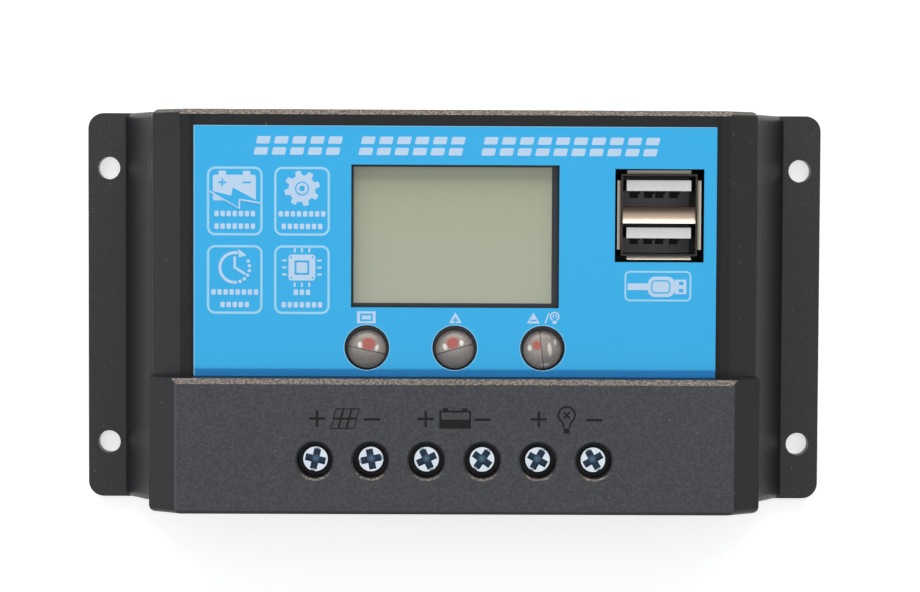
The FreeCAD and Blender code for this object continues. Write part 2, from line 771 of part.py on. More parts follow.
def switches():
    """Three tactile switches: moulded bases, snap domes and pressed lids."""
    well = "stem_width + 2 * stem_gap"
    lid_foot = f"({SWITCH_TOP} - switch_lid)"
    bases, lids, domes = [], [], []
    for x in BUTTON_X:
        base = box(x, CAP_Y, "display_board_level", "switch_side", "switch_side",
                   f"{lid_foot} - display_board_level")
        bases.append(cut(base, cylinder(x, CAP_Y, STEM_WELL, well, f"{lid_foot} - {STEM_WELL}")))
        lid = box(x, CAP_Y, lid_foot, "switch_side", "switch_side", "switch_lid")
        lids.append(cut(lid, cylinder(x, CAP_Y, lid_foot, well, "switch_lid")))
        domes.append(cylinder(x, CAP_Y, STEM_WELL, "stem_width", "switch_dome"))
    group(bases, "switch_bases")
    group(lids, "switch_lids")
    group(domes, "switch_domes")


def display():
    """Glass and its polariser in a frame, over a light guide, joined by elastic strips."""
    half_up = f"{GLASS_HEIGHT} / 2"
    keep(box("0", "window_up", GLASS_BACK, GLASS_WIDTH, GLASS_HEIGHT, "glass_thickness"), "lcd_glass")
    polariser = box("0", "window_up", GLASS_TOP, POLARISER_WIDTH, POLARISER_HEIGHT,
                    "polariser_thickness")
    keep(polariser, "lcd_polariser")
    inner = (f"{GLASS_WIDTH} + 2 * frame_gap", f"{GLASS_HEIGHT} + 2 * frame_gap")
    frame_height = f"{GLASS_TOP} - display_board_level"
    frame = box("0", "window_up", "display_board_level", f"{inner[0]} + 2 * frame_wall",
                f"{inner[1]} + 2 * frame_wall", frame_height)
    hole = box("0", "window_up", "display_board_level", *inner, frame_height)
    keep(cut(frame, hole), "lcd_frame")
    strip_height = f"{GLASS_BACK} - display_board_level"
    strips = [
        box("0", f"window_up + {side} * ({half_up} - strip_width / 2)", "display_board_level",
            f"{GLASS_WIDTH} - 2 * strip_short", "strip_width", strip_height)
        for side in SIDES
    ]
    group(strips, "lcd_contact_strips")
    guide_up = f"{GLASS_HEIGHT} - 2 * strip_width - 4 * frame_gap"
    guide = box("led_space / 2", "window_up", "display_board_level + frame_gap",
                f"{GLASS_WIDTH} - led_space", guide_up, f"{strip_height} - 2 * frame_gap")
    keep(guide, "lcd_light_guide")
    led_x = f"(-{GLASS_WIDTH} / 2 + led_space / 2)"
    keep(box(led_x, "window_up", "display_board_level", "led_width", "led_side", "led_height"),
         "backlight_led")


def display_board():
    body = new_body("display_board")
    shape = [("0", DISPLAY_BOARD_UP, DISPLAY_BOARD_WIDTH, DISPLAY_BOARD_HEIGHT)]
    pad(body, rectangles(body, "XY", shape, level=DISPLAY_BACK), "display_board_thickness")
    holes = circles(body, "XY", DISPLAY_SCREWS, "small_shank + 2 * screw_play",
                    level="display_board_level")
    pocket(body, holes, "display_board_thickness")


def board_connector():
    """Pin header on the power board and the socket under the display board."""
    body_wide = f"{HEADER_PINS} * header_pitch"
    header_top = "(power_board_level + header_body)"
    pin_foot = f"({POWER_BACK} - lead_tail)"
    pin_tip = f"({DISPLAY_BACK} - header_pin_end)"

    def pins(extra):
        side = f"header_pin + 2 * {extra}"
        return [box(x, "header_up", pin_foot, side, side, f"{pin_tip} - {pin_foot}") for x in HEADER_X]

    group(pins("0"), "header_pins")
    strip = box("0", "header_up", "power_board_level", body_wide, "header_body", "header_body")
    keep(cut(strip, *pins("header_pin_fit")), "board_header")
    shroud = box("0", "header_up", header_top, body_wide, "header_body", f"{DISPLAY_BACK} - {header_top}")
    keep(cut(shroud, *pins("lead_gap")), "board_socket")
    chip = box("0", f"{DISPLAY_BOARD_UP} - chip_drop", f"{DISPLAY_BACK} - chip_height",
               "chip_side", "chip_side", "chip_height")
    keep(chip, "microcontroller")


# ---------------------------------------------------------------- terminal strip


def terminal_block():
    """Insulating block whose nose shows through the case, with a well for each clamp."""
    body = new_body("terminal_block")
    middle, depth = f"({BLOCK_FRONT} + {BLOCK_REAR}) / 2", f"{BLOCK_REAR} - {BLOCK_FRONT}"
    plan = [("0", middle, f"2 * {BLOCK_HALF}", depth)]
    pad(body, rectangles(body, "XY", plan, level="power_board_level"), f"{BLOCK_LEVEL} - power_board_level")
    nose = [("0", f"({NOSE_LOW} + {NOSE_TOP}) / 2", f"2 * {NOSE_HALF}", f"{NOSE_TOP} - {NOSE_LOW}")]
    pad(body, rectangles(body, "XZ", nose, level=f"-1 * {BLOCK_FRONT}"), "nose_depth")
    wells = [
        (x, POLE_Y, "clamp_width + 2 * clamp_side_gap", "clamp_length + 2 * clamp_side_gap")
        for x in POLE_X
    ]
    well_height = f"{SHOULDER_LEVEL} - shoulder - power_board_level"
    pocket(body, rectangles(body, "XY", wells, level="power_board_level"), well_height, back=True)
    entry_low, entry_top = f"({NOSE_LOW} + nose_lip)", f"({NOSE_TOP} - nose_lip)"
    entries = [
        (x, f"({entry_low} + {entry_top}) / 2", "wire_entry", f"{entry_top} - {entry_low}") for x in POLE_X
    ]
    entry_depth = f"{POLE_Y} - clamp_length / 2 - ({BLOCK_FRONT} - nose_depth)"
    pocket(body, rectangles(body, "XZ", entries, level=f"nose_depth - {BLOCK_FRONT}"), entry_depth)
    head_wells = circles(body, "XY", [(x, POLE_Y) for x in POLE_X], "driver_hole", level=BLOCK_LEVEL)
    pocket(body, head_wells, f"{BLOCK_LEVEL} - {SHOULDER_LEVEL}")
    shafts = circles(body, "XY", [(x, POLE_Y) for x in POLE_X], "thread_width + 2 * thread_gap",
                     level=SHOULDER_LEVEL)
    pocket(body, shafts, "shoulder")
    slots = [
        (x, f"({PIN_Y} + {POLE_Y}) / 2", "bar_width + 2 * fit_gap", f"{PIN_Y} + terminal_pin - {POLE_Y}")
        for x in POLE_X
    ]
    slot_height = f"{BAR_LEVEL} + bar_thickness + fit_gap - power_board_level"
    pocket(body, rectangles(body, "XY", slots, level="power_board_level"), slot_height, back=True)


def terminal_contacts():
    """Tinned bars over the wire space, each with a pin down through the power board."""
    front = f"({POLE_Y} - clamp_length / 2)"
    rear = f"({PIN_Y} + terminal_pin / 2)"
    pin_foot = f"({POWER_BACK} - lead_tail)"
    made = []
    for x in POLE_X:
        bar = box(x, f"({front} + {rear}) / 2", BAR_LEVEL, "bar_width", f"{rear} - {front}", "bar_thickness")
        pin = cylinder(x, PIN_Y, pin_foot, "terminal_pin", f"{BAR_LEVEL} + bar_thickness / 2 - {pin_foot}")
        made.append(fuse(bar, pin))
    group(made, "terminal_contacts")


def terminal_screw(label, x, turn):
    """Captive screw: a recessed cheese head on its shoulder and a thread down to the bar."""
    head_top = f"({HEAD_LEVEL} + terminal_head_height)"
    head = cylinder("0", "0", HEAD_LEVEL, "terminal_head", "terminal_head_height")
    tip = f"({BAR_LEVEL} + bar_thickness + fit_gap)"
    thread = cylinder("0", "0", tip, "thread_width", f"{HEAD_LEVEL} - {tip}")
    recess = f"{head_top} - recess_depth"
    notch = f"{head_top} - notch_depth"
    made = cut(
        fuse(head, thread),
        box("0", "0", recess, "recess_width", "recess_length", "recess_depth"),
        box("0", "0", recess, "recess_length", "recess_width", "recess_depth"),
        box("0", "0", notch, "notch_width", "terminal_head + cut_over", "notch_depth"),
    )
    place(made, x, POLE_Y, "0")
    made.Placement.Rotation = FreeCAD.Rotation(FreeCAD.Vector(0, 0, -1), turn)
    keep(made, label + "_screw")


def terminal_clamp(label, x):
    """Rising cage: a steel loop with the nut in its roof and the wire's jaw in its floor."""
    body = new_body(label + "_clamp")
    top = f"({CLAMP_FOOT} + {CLAMP_HEIGHT})"
    loop = [("0", f"({CLAMP_FOOT} + {top}) / 2", "clamp_width", CLAMP_HEIGHT)]
    pad(body, rectangles(body, "XZ", loop), "clamp_length", both_ways=True)
    low = f"({CLAMP_FOOT} + clamp_floor)"
    inside = [("0", f"({low} + {NUT_LEVEL}) / 2", "clamp_width - 2 * clamp_wall", f"{NUT_LEVEL} - {low}")]
    pocket(body, rectangles(body, "XZ", inside), "clamp_length", both_ways=True)
    bore = circles(body, "XY", [("0", "0")], "thread_width + 2 * thread_gap", level=top)
    pocket(body, bore, "clamp_nut")
    place(body, x, POLE_Y, "0")


# ---------------------------------------------------------------- twin socket


def usb_shell():
    """Folded steel box round both ports, with sprung lips at its mouth and four tabs."""
    body = new_body("usb_shell")
    depth = f"{SOCKET_MOUTH} - {SOCKET_FLOOR}"
    outer = [(SOCKET_X, "socket_up", SHELL_WIDTH, SHELL_HEIGHT)]
    pad(body, rectangles(body, "XY", outer, level=SOCKET_FLOOR), depth)
    inner = [(SOCKET_X, "socket_up", "socket_width", "port_pitch + port_height")]
    pocket(body, rectangles(body, "XY", inner, level=SOCKET_MOUTH), depth)
    lip_foot = f"({SOCKET_MOUTH} - lip_length)"

    def lip(plane, middle, half, side, centre, length):
        wall_out = f"{middle} + {side} * {half}"
        wall_in = f"{middle} + {side} * ({half} - socket_sheet)"
        drawn = outline(
            body,
            plane,
            [
                (wall_in, lip_foot),
                (wall_out, f"{lip_foot} - socket_sheet"),
                (f"{wall_out} + {side} * lip_flare", f"{SOCKET_MOUTH} - socket_sheet"),
                (f"{wall_out} + {side} * lip_flare", SOCKET_MOUTH),
                (wall_out, f"{lip_foot} + socket_sheet"),
                (wall_out, SOCKET_MOUTH),
                (wall_in, SOCKET_MOUTH),
            ],
            level=centre,
        )
        pad(body, drawn, length, both_ways=True)

    for side in SIDES:
        lip("YZ", "socket_up", f"{SHELL_HEIGHT} / 2", side, SOCKET_X, "lip_across")
        lip("XZ", SOCKET_X, f"{SHELL_WIDTH} / 2", side, "-socket_up", "lip_up")
    tabs = [(x, y, "socket_sheet", "socket_tab") for x, y in SOCKET_TABS]
    tab_foot = f"({POWER_BACK} - lead_tail)"
    pad(body, rectangles(body, "XY", tabs, level=tab_foot), f"{SOCKET_FLOOR} - {tab_foot}")


def usb_inside():
    """Divider between the ports, the insulator with both tongues, and the contacts."""
    gap = "port_pitch - port_height"
    divider = box(SOCKET_X, "socket_up", PORT_FLOOR, "socket_width", gap,
                  f"{SOCKET_MOUTH} - {PORT_FLOOR}")
    groove = box(SOCKET_X, "socket_up", PORT_FLOOR, "socket_width", f"{gap} - 2 * socket_sheet",
                 f"{SOCKET_MOUTH} - {PORT_FLOOR} - socket_sheet")
    keep(cut(divider, groove), "usb_divider")

    back = box(SOCKET_X, "socket_up", SOCKET_FLOOR, "socket_width", "port_pitch + port_height",
               f"{PORT_FLOOR} - {SOCKET_FLOOR}")
    tip = f"({SOCKET_MOUTH} - tongue_drop)"
    tongues, contacts = [], []
    for side in SIDES:
        y = f"(socket_up + {side} * port_pitch / 2 + tongue_offset)"
        tongues.append(box(SOCKET_X, y, PORT_FLOOR, "tongue_width", "tongue_thickness",
                           f"{tip} - {PORT_FLOOR}"))
        under = f"{y} - tongue_thickness / 2 - contact_thickness / 2"
        for reach in ("-contact_outer", "-contact_inner", "contact_inner", "contact_outer"):
            contacts.append(box(f"{SOCKET_X} + {reach}", under, PORT_FLOOR, "contact_width",
                                "contact_thickness", f"contact_share * ({tip} - {PORT_FLOOR})"))
    keep(fuse(back, *tongues), "usb_insulator")
    group(contacts, "usb_contacts")


# ---------------------------------------------------------------- power board and its parts


def power_board():
    body = new_body("power_board")
    shape = [("0", "0", POWER_BOARD_WIDTH, POWER_BOARD_HEIGHT)]
    pad(body, rectangles(body, "XY", shape, level=POWER_BACK), "power_board_thickness")
    header = [(x, "header_up") for x in HEADER_X]
    for holes, width in (
        (POWER_SCREWS, "screw_shank + 2 * screw_play"),
        ([(x, PIN_Y) for x in POLE_X], "terminal_pin + 2 * lead_gap"),
        (header, "square_to_round * header_pin + 2 * lead_gap"),
        (LEGS, "square_to_round * mosfet_leg + 2 * lead_gap"),
        (SOCKET_TABS, "socket_tab + 2 * lead_gap"),
    ):
        drawn = circles(body, "XY", holes, width, level="power_board_level")
        pocket(body, drawn, "power_board_thickness")


def heat_sink():
    body = new_body("heat_sink")
    shape = [("0", "sink_up", "sink_width", "sink_height")]
    pad(body, rectangles(body, "XY", shape, level=COVER_SEAT), "sink_thickness")
    tapped = [(x, TAB_SCREW_Y) for x in MOSFET_X]
    drawn = circles(body, "XY", tapped, "tab_screw_shank + 2 * fit_gap", level=SINK_TOP)
    pocket(body, drawn, "sink_thickness")


def mosfets():
    """Power transistors flat on the heat sink, their legs bent up into the board."""
    made, screws = [], []
    tip = "(power_board_level + lead_tail)"
    leg_level = f"({SINK_TOP} + mosfet_thickness / 2)"
    tab_top = f"({SINK_TOP} + mosfet_tab)"
    run = "mosfet_leg_reach + mosfet_leg / 2"
    for x in MOSFET_X:
        parts = [
            box(x, "mosfet_row", SINK_TOP, "mosfet_width", "mosfet_length", "mosfet_thickness"),
            box(x, TAB_SCREW_Y, SINK_TOP, "mosfet_width", "mosfet_tab_length", "mosfet_tab"),
        ]
        for step in (-1, 0, 1):
            leg_x = f"{x} + {step} * mosfet_leg_pitch"
            run_y = f"{LEG_Y} - mosfet_leg / 2 + ({run}) / 2"
            parts.append(box(leg_x, run_y, leg_level, "mosfet_leg", run, "mosfet_leg"))
            parts.append(box(leg_x, LEG_Y, leg_level, "mosfet_leg", "mosfet_leg", f"{tip} - {leg_level}"))
        hole = cylinder(x, TAB_SCREW_Y, SINK_TOP, "tab_screw_shank + 2 * fit_gap", "mosfet_tab")
        made.append(cut(fuse(*parts), hole))
        head = cylinder(x, TAB_SCREW_Y, tab_top, "tab_screw_head", "tab_screw_head_height")
        foot = f"({COVER_SEAT} + fit_gap)"
        shank = cylinder(x, TAB_SCREW_Y, foot, "tab_screw_shank", f"{tab_top} - {foot}")
        recess = f"{tab_top} + tab_screw_head_height / 2"
        slot = box(x, TAB_SCREW_Y, recess, "screw_slot", "screw_slot_share * tab_screw_head",
                   "tab_screw_head_height / 2")
        screws.append(cut(fuse(head, shank), slot))
    group(made, "mosfets")
    group(screws, "mosfet_screws")


def board_parts():
    """Capacitors, inductor, fuse, suppressor, shunt and regulator, all standing on the board."""
    floor = "power_board_level"
    cans = []
    for step in (-0.5, 0.5):
        y = f"capacitor_up + {step} * capacitor_pitch"
        can = cylinder("capacitor_across", y, floor, "capacitor_width", "capacitor_height")
        waist = ("capacitor_across", y, f"{floor} + capacitor_groove_level")
        outer = cylinder(*waist, "capacitor_width + cut_over", "capacitor_groove")
        core = cylinder(*waist, "capacitor_width - 2 * capacitor_groove_depth", "capacitor_groove")
        cans.append(cut(can, cut(outer, core)))
    group(cans, "capacitors")

    at = ("inductor_across", "inductor_up")
    top_flange = f"{floor} + inductor_height - inductor_flange"
    core = fuse(
        cylinder(*at, floor, "inductor_width", "inductor_flange"),
        cylinder(*at, floor, "inductor_waist", "inductor_height"),
        cylinder(*at, top_flange, "inductor_width", "inductor_flange"),
    )
    keep(core, "inductor_core")
    coil_level, coil_height = f"{floor} + inductor_flange", "inductor_height - 2 * inductor_flange"
    coil = cylinder(*at, coil_level, "inductor_coil", coil_height)
    keep(cut(coil, cylinder(*at, coil_level, "inductor_waist", coil_height)), "inductor_coil")

    fuse_at = ("capacitor_across", "fuse_up")
    blades = [
        box(f"capacitor_across + {side} * fuse_blade_across", "fuse_up", floor, "fuse_blade_width",
            "shunt_sheet", "fuse_blade_height")
        for side in SIDES
    ]
    top = box(*fuse_at, f"{floor} + fuse_blade_height", "fuse_length", "fuse_thickness",
              "fuse_height - fuse_blade_height")
    keep(fuse(top, *blades), "fuse")

    drum = doc.addObject("Part::Cylinder", "cylinder")
    bind(drum, Radius="suppressor_width / 2", Height="suppressor_length")
    drum.Placement.Rotation = FreeCAD.Rotation(FreeCAD.Vector(0, 1, 0), 90)
    drum_x = "inductor_across - suppressor_length / 2"
    place(drum, drum_x, "suppressor_up", f"{floor} + suppressor_width / 2")
    keep(drum, "surge_suppressor")

    strap = box("0", "suppressor_up", floor, "shunt_length", "shunt_width", "shunt_height")
    window = box("0", "suppressor_up", floor, "shunt_length - 2 * shunt_sheet", "shunt_width",
                 "shunt_height - shunt_sheet")
    keep(cut(strap, window), "current_shunt")
    keep(box("capacitor_across / 2", "suppressor_up", floor, "regulator_side", "regulator_side",
             "regulator_height"), "regulator")


# ---------------------------------------------------------------- making the pieces

SCREW_TURNS = (13, 79, -25, 35, 29, -30)

front_housing()
rear_cover()
case_screws()
face_label()
for name, across in zip(BUTTONS, BUTTON_X):
    button_cap(name + "_button", across)
    button_stem(name + "_stem", across)
switches()
display()
display_board()
board_connector()
terminal_block()
terminal_contacts()
for name, across, turned in zip(POLES, POLE_X, SCREW_TURNS):
    terminal_screw(name, across, turned)
    terminal_clamp(name, across)
usb_shell()
usb_inside()
power_board()
heat_sink()
mosfets()
board_parts()
doc.recompute()

for thing in doc.Objects:
    if "Invalid" in thing.State or "Error" in thing.State:
        raise RuntimeError(f"{thing.Name} has failed: {thing.State}")
for label, thing in pieces.items():
    if thing.Shape.isNull() or not thing.Shape.isValid() or thing.Shape.Volume <= 0:
        raise RuntimeError(f"{label} is not a sound solid")

os.makedirs("parts", exist_ok=True)
for label, thing in pieces.items():
    thing.Shape.exportStep(f"parts/{label}.step")
    solids = len(thing.Shape.Solids)
    print(f"{label}: {solids} solid(s), {thing.Shape.Volume:.1f} mm3")
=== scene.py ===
import math
from types import SimpleNamespace

import bmesh
import bpy
from mathutils import Matrix, Vector


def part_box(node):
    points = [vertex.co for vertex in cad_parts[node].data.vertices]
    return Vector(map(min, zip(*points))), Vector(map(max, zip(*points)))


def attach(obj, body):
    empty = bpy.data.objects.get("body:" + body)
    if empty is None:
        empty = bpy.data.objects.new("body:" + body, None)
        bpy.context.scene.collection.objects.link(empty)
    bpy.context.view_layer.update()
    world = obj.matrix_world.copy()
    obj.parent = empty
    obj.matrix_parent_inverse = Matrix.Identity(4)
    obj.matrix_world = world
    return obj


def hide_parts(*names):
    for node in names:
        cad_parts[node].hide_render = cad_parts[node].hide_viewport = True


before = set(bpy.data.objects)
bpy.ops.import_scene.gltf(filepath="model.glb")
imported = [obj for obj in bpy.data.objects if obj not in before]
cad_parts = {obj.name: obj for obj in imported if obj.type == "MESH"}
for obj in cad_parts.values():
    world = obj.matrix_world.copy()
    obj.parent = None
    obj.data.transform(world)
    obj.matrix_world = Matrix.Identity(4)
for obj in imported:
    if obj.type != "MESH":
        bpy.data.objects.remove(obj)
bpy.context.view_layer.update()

# ---------------------------------------------------------------- camera
# A long lens straight over the face, a little above its middle, so that every side wall of
# the case shows as a narrow band. The controller lies on its back.

scene = bpy.context.scene
scene.view_settings.view_transform = "Standard"
mm = 0.001
camera_data = bpy.data.cameras.new("camera")
camera_data.sensor_width = 36.0
camera_data.lens = 95.15
camera_data.clip_start = 0.01
camera_data.clip_end = 20.0
camera = bpy.data.objects.new("camera", camera_data)
camera.rotation_mode = "ZXY"
camera.rotation_euler = (math.radians(-2.45), math.radians(-0.42), math.radians(0.26))
camera.location = (-2.189 * mm, 20.927 * mm, 446.612 * mm)
scene.collection.objects.link(camera)
scene.camera = camera

# ---------------------------------------------------------------- light and floor
# A big soft panel overhead, a lower and brighter one past the top end of the case, and two
# narrower ones at its sides, over a pale painted table. Seen from below, the table is clear.


def paint(code):
    """A hex colour as the linear values that shaders take."""
    parts = [int(code[i:i + 2], 16) / 255 for i in (0, 2, 4)]
    linear = [c / 12.92 if c <= 0.04045 else ((c + 0.055) / 1.055) ** 2.4 for c in parts]
    return (*linear, 1.0)


def add_node(tree, kind, inputs=None, **settings):
    """A shader node with its settings. An input given as a socket is linked, any other is set."""
    made = tree.nodes.new("ShaderNode" + kind)
    for name, value in settings.items():
        setattr(made, name, value)
    for name, value in (inputs or {}).items():
        if isinstance(value, bpy.types.NodeSocket):
            tree.links.new(value, made.inputs[name])
        else:
            made.inputs[name].default_value = value
    return made


def soft_panel(name, place, target, wide, high, radiance, colour):
    """A rectangular light that faces its target; radiance 1 is as bright as white paper."""
    data = bpy.data.lights.new(name, "AREA")
    data.shape = "RECTANGLE"
    data.size, data.size_y = wide, high
    data.energy = radiance * math.pi * wide * high
    data.color = paint(colour)[:3]
    lamp = bpy.data.objects.new(name, data)
    lamp.location = place
    lamp.rotation_euler = (Vector(target) - Vector(place)).to_track_quat("-Z", "Y").to_euler()
    scene.collection.objects.link(lamp)


soft_panel("overhead_panel", (0, 0, 1.25), (0, 0, 0), 1.7, 1.2, 0.88, "FFFFFF")
soft_panel("top_end_panel", (0.0, 1.0, 0.52), (0, 0, 0.02), 1.5, 0.85, 3.7, "FFFBF4")
soft_panel("left_panel", (-1.1, -0.1, 0.45), (0, 0, 0), 0.5, 0.7, 1.8, "EEF4FF")
soft_panel("right_panel", (1.1, 0.0, 0.45), (0, 0, 0), 0.5, 0.7, 0.3, "FFFFFF")

sky = bpy.data.worlds.new("sky")
sky.use_nodes = True
sky.node_tree.nodes.clear()
sky_light = add_node(sky.node_tree, "Background", {"Color": paint("F2F4F6"), "Strength": 0.25})
add_node(sky.node_tree, "OutputWorld", {"Surface": sky_light.outputs[0]})
scene.world = sky

floor_finish = bpy.data.materials.new("painted_table")
floor_finish.use_nodes = True
tree = floor_finish.node_tree
tree.nodes.clear()
table_place = add_node(tree, "TexCoord").outputs["Object"]
table_mottle = add_node(tree, "TexNoise", {"Vector": table_place, "Scale": 6.0, "Detail": 2.0})
table_colour = add_node(tree, "Mix", {
    0: table_mottle.outputs["Fac"], 6: paint("F0F0F0"), 7: paint("F4F4F4")}, data_type="RGBA")
table_gloss = add_node(tree, "BsdfPrincipled", {
    "Base Color": table_colour.outputs[2], "Roughness": 0.75, "Specular IOR Level": 0.2,
    "Emission Color": paint("FFFFFF"), "Emission Strength": 0.55})
from_below = add_node(tree, "MixShader", {
    0: add_node(tree, "NewGeometry").outputs["Backfacing"], 1: table_gloss.outputs[0],
    2: add_node(tree, "BsdfTransparent").outputs[0]})
add_node(tree, "OutputMaterial", {"Surface": from_below.outputs[0]})

table_reach, table_level = 3.0, -0.1 * mm
bm = bmesh.new()
bmesh.ops.create_grid(bm, x_segments=1, y_segments=1, size=table_reach)
bmesh.ops.translate(bm, vec=(0, 0, table_level), verts=bm.verts)
floor_mesh = bpy.data.meshes.new("table_top")
bm.to_mesh(floor_mesh)
bm.free()
floor_mesh.materials.append(floor_finish)
floor = bpy.data.objects.new("table_top", floor_mesh)
scene.collection.objects.link(floor)

# ---------------------------------------------------------------- front housing
# Injection-moulded black ABS. Its mould was spark-eroded on the hood and the ears, which
# leaves a fine grain that looks greyer, and only polished on the leaning side walls.


def surface(name, colour, other, patch, grain, depth, rough, **shader):
    """A finish of two close colours in patches, with bumps; patch, grain and depth are in mm."""
    made = bpy.data.materials.new(name)
    made.use_nodes = True
    tree = made.node_tree
    tree.nodes.clear()
    place = add_node(tree, "TexCoord").outputs["Object"]
    patches = add_node(tree, "TexNoise", {"Vector": place, "Scale": 1 / (patch * mm), "Detail": 3.0})
    tone = add_node(tree, "Mix", {0: patches.outputs["Fac"], 6: paint(colour), 7: paint(other)},
                    data_type="RGBA")
    bumps = add_node(tree, "TexNoise", {"Vector": place, "Scale": 1 / (grain * mm), "Detail": 2.0})
    gloss = add_node(tree, "MapRange", {
        "Value": bumps.outputs["Fac"], "From Min": 0.3, "From Max": 0.7,
        "To Min": rough[0], "To Max": rough[1]})
    relief = add_node(tree, "Bump", {"Height": bumps.outputs["Fac"], "Distance": depth * mm})
    body = add_node(tree, "BsdfPrincipled", {
        "Base Color": tone.outputs[2], "Roughness": gloss.outputs[0], "Normal": relief.outputs[0],
        **{key.replace("_", " "): value for key, value in shader.items()}})
    add_node(tree, "OutputMaterial", {"Surface": body.outputs[0]})
    return SimpleNamespace(finish=made, tree=tree, place=place, tone=tone.outputs[2], body=body,
                           bumps=bumps.outputs["Fac"])


def dress(finish, *nodes):
    """Gives CAD nodes their finish."""
    for name in nodes:
        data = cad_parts[name].data
        data.materials.clear()
        data.materials.append(finish)


# ABS is dark right through, with a soft sheen where the mould was polished. The eroded grain
# is 0.4 mm and scatters more light, so the hood looks greyer, and the ears half as much.
housing_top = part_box("front_housing")[1].z
ear_top = 2.6 * mm
abs_grained = surface("moulded_abs_black", "111215", "16171A", 9.0, 0.4, 0.02, (0.34, 0.5),
                      **{"Specular IOR Level": 0.32})
tree = abs_grained.tree
across = add_node(tree, "SeparateXYZ", {0: abs_grained.place}).outputs
on_hood = add_node(tree, "MapRange", {
    "Value": across["Z"], "From Min": housing_top - 0.5 * mm, "From Max": housing_top - 0.2 * mm})
on_ears = add_node(tree, "MapRange", {
    "Value": across["Z"], "From Min": ear_top + 0.3 * mm, "From Max": ear_top})
ears_less = add_node(tree, "Math", {0: on_ears.outputs[0], 1: 0.5}, operation="MULTIPLY")
eroded = add_node(tree, "Math", {0: on_hood.outputs[0], 1: ears_less.outputs[0]}, operation="MAXIMUM")
grain_step = add_node(tree, "MapRange", {
    "Value": abs_grained.bumps, "From Min": 0.38, "From Max": 0.66})
grain_tone = add_node(tree, "Mix", {0: grain_step.outputs[0], 6: paint("3A3B40"), 7: paint("4B4D52")},
                      data_type="RGBA")
greyer = add_node(tree, "Mix", {0: eroded.outputs[0], 6: abs_grained.tone, 7: grain_tone.outputs[2]},
                  data_type="RGBA")
# The pale specks are dust caught in the grain, about 0.15 mm across. They lie where points of
# a 1.6 mm pattern meet the surface, and about one such point in four has one.
dust_pitch, dust_from = 1.6, 0.72
dust = add_node(tree, "TexVoronoi", {"Vector": abs_grained.place, "Scale": 1 / (dust_pitch * mm)})
dust_size = add_node(tree, "MapRange", {
    "Value": dust.outputs["Distance"], "From Min": 0.07, "From Max": 0.03})
dust_pick = add_node(tree, "SeparateColor", {0: dust.outputs["Color"]})
dust_few = add_node(tree, "Math", {0: dust_pick.outputs[0], 1: dust_from}, operation="GREATER_THAN")
dust_mask = add_node(tree, "Math", {0: dust_size.outputs[0], 1: dust_few.outputs[0]},
                     operation="MULTIPLY")
dusty = add_node(tree, "Mix", {0: dust_mask.outputs[0], 6: greyer.outputs[2], 7: paint("8C8F94")},
                 data_type="RGBA")
# The recess steps down beside the label, and a band of the face there is painted almost black as painted
# shade of that step.
recess_lo, recess_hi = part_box("face_label")
step_wide, step_under = 0.9 * mm, 0.3 * mm
beside = []
for edge, toward in ((recess_lo.x, -1), (recess_hi.x, 1)):
    away = add_node(tree, "Math", {0: across["X"], 1: edge}, operation="SUBTRACT")
    outward = add_node(tree, "Math", {0: away.outputs[0], 1: toward}, operation="MULTIPLY")
    near = add_node(tree, "MapRange", {
        "Value": outward.outputs[0], "From Min": step_wide, "From Max": 0.7 * step_wide})
    past = add_node(tree, "Math", {0: outward.outputs[0], 1: -step_under}, operation="GREATER_THAN")
    beside.append(add_node(tree, "Math", {0: near.outputs[0], 1: past.outputs[0]}, operation="MULTIPLY"))
either = add_node(tree, "Math", {0: beside[0].outputs[0], 1: beside[1].outputs[0]}, operation="MAXIMUM")
under_hood = add_node(tree, "Math", {0: across["Z"], 1: recess_hi.z + 0.3 * mm}, operation="LESS_THAN")
above_wall = add_node(tree, "Math", {0: across["Z"], 1: recess_hi.z - 1.0 * mm},
                      operation="GREATER_THAN")
at_face = add_node(tree, "Math", {0: under_hood.outputs[0], 1: above_wall.outputs[0]},
                   operation="MULTIPLY")
# Painted shade: the band beside the label is mixed toward near black.
step_shade_mask = add_node(tree, "Math", {0: either.outputs[0], 1: at_face.outputs[0]}, operation="MULTIPLY")
step_shaded = add_node(tree, "Mix", {0: step_shade_mask.outputs[0], 6: dusty.outputs[2], 7: paint("020203")},
                   data_type="RGBA")
# The chamfers that lean toward the top end, along the face and the hood and round the driver holes, are
# painted paler as a painted highlight of the light from that end.
lean_from, lean_full = 0.42, 0.6
facing = add_node(tree, "SeparateXYZ", {0: add_node(tree, "NewGeometry").outputs["Normal"]}).outputs
leans_up = add_node(tree, "MapRange", {
    "Value": facing["Y"], "From Min": lean_from, "From Max": lean_full})
leans_out = add_node(tree, "MapRange", {
    "Value": facing["Z"], "From Min": lean_from, "From Max": lean_full})
# Painted highlight on the chamfers that face the top end.
lit_chamfer_mask = add_node(tree, "Math", {0: leans_up.outputs[0], 1: leans_out.outputs[0]}, operation="MULTIPLY")
chamfer_highlight_tone = add_node(tree, "Mix", {0: grain_step.outputs[0], 6: paint("3B3735"), 7: paint("8A8078")},
                    data_type="RGBA")
chamfer_lit = add_node(tree, "Mix", {0: lit_chamfer_mask.outputs[0], 6: step_shaded.outputs[2], 7: chamfer_highlight_tone.outputs[2]},
                data_type="RGBA")
tree.links.new(chamfer_lit.outputs[2], abs_grained.body.inputs["Base Color"])
dress(abs_grained.finish, "front_housing")

# ---------------------------------------------------------------- rear cover and its screws
# A plain black ABS plate that drops into the foot of the case, and four pan-head screws of
# blackened zinc steel that hold it from behind.

# The cover's mould was left dull, so its black is a little greyer and flatter than the case's.
abs_plain = surface("moulded_abs_cover", "1B1C1F", "212225", 14.0, 0.5, 0.012, (0.4, 0.5))
dress(abs_plain.finish, "rear_cover")
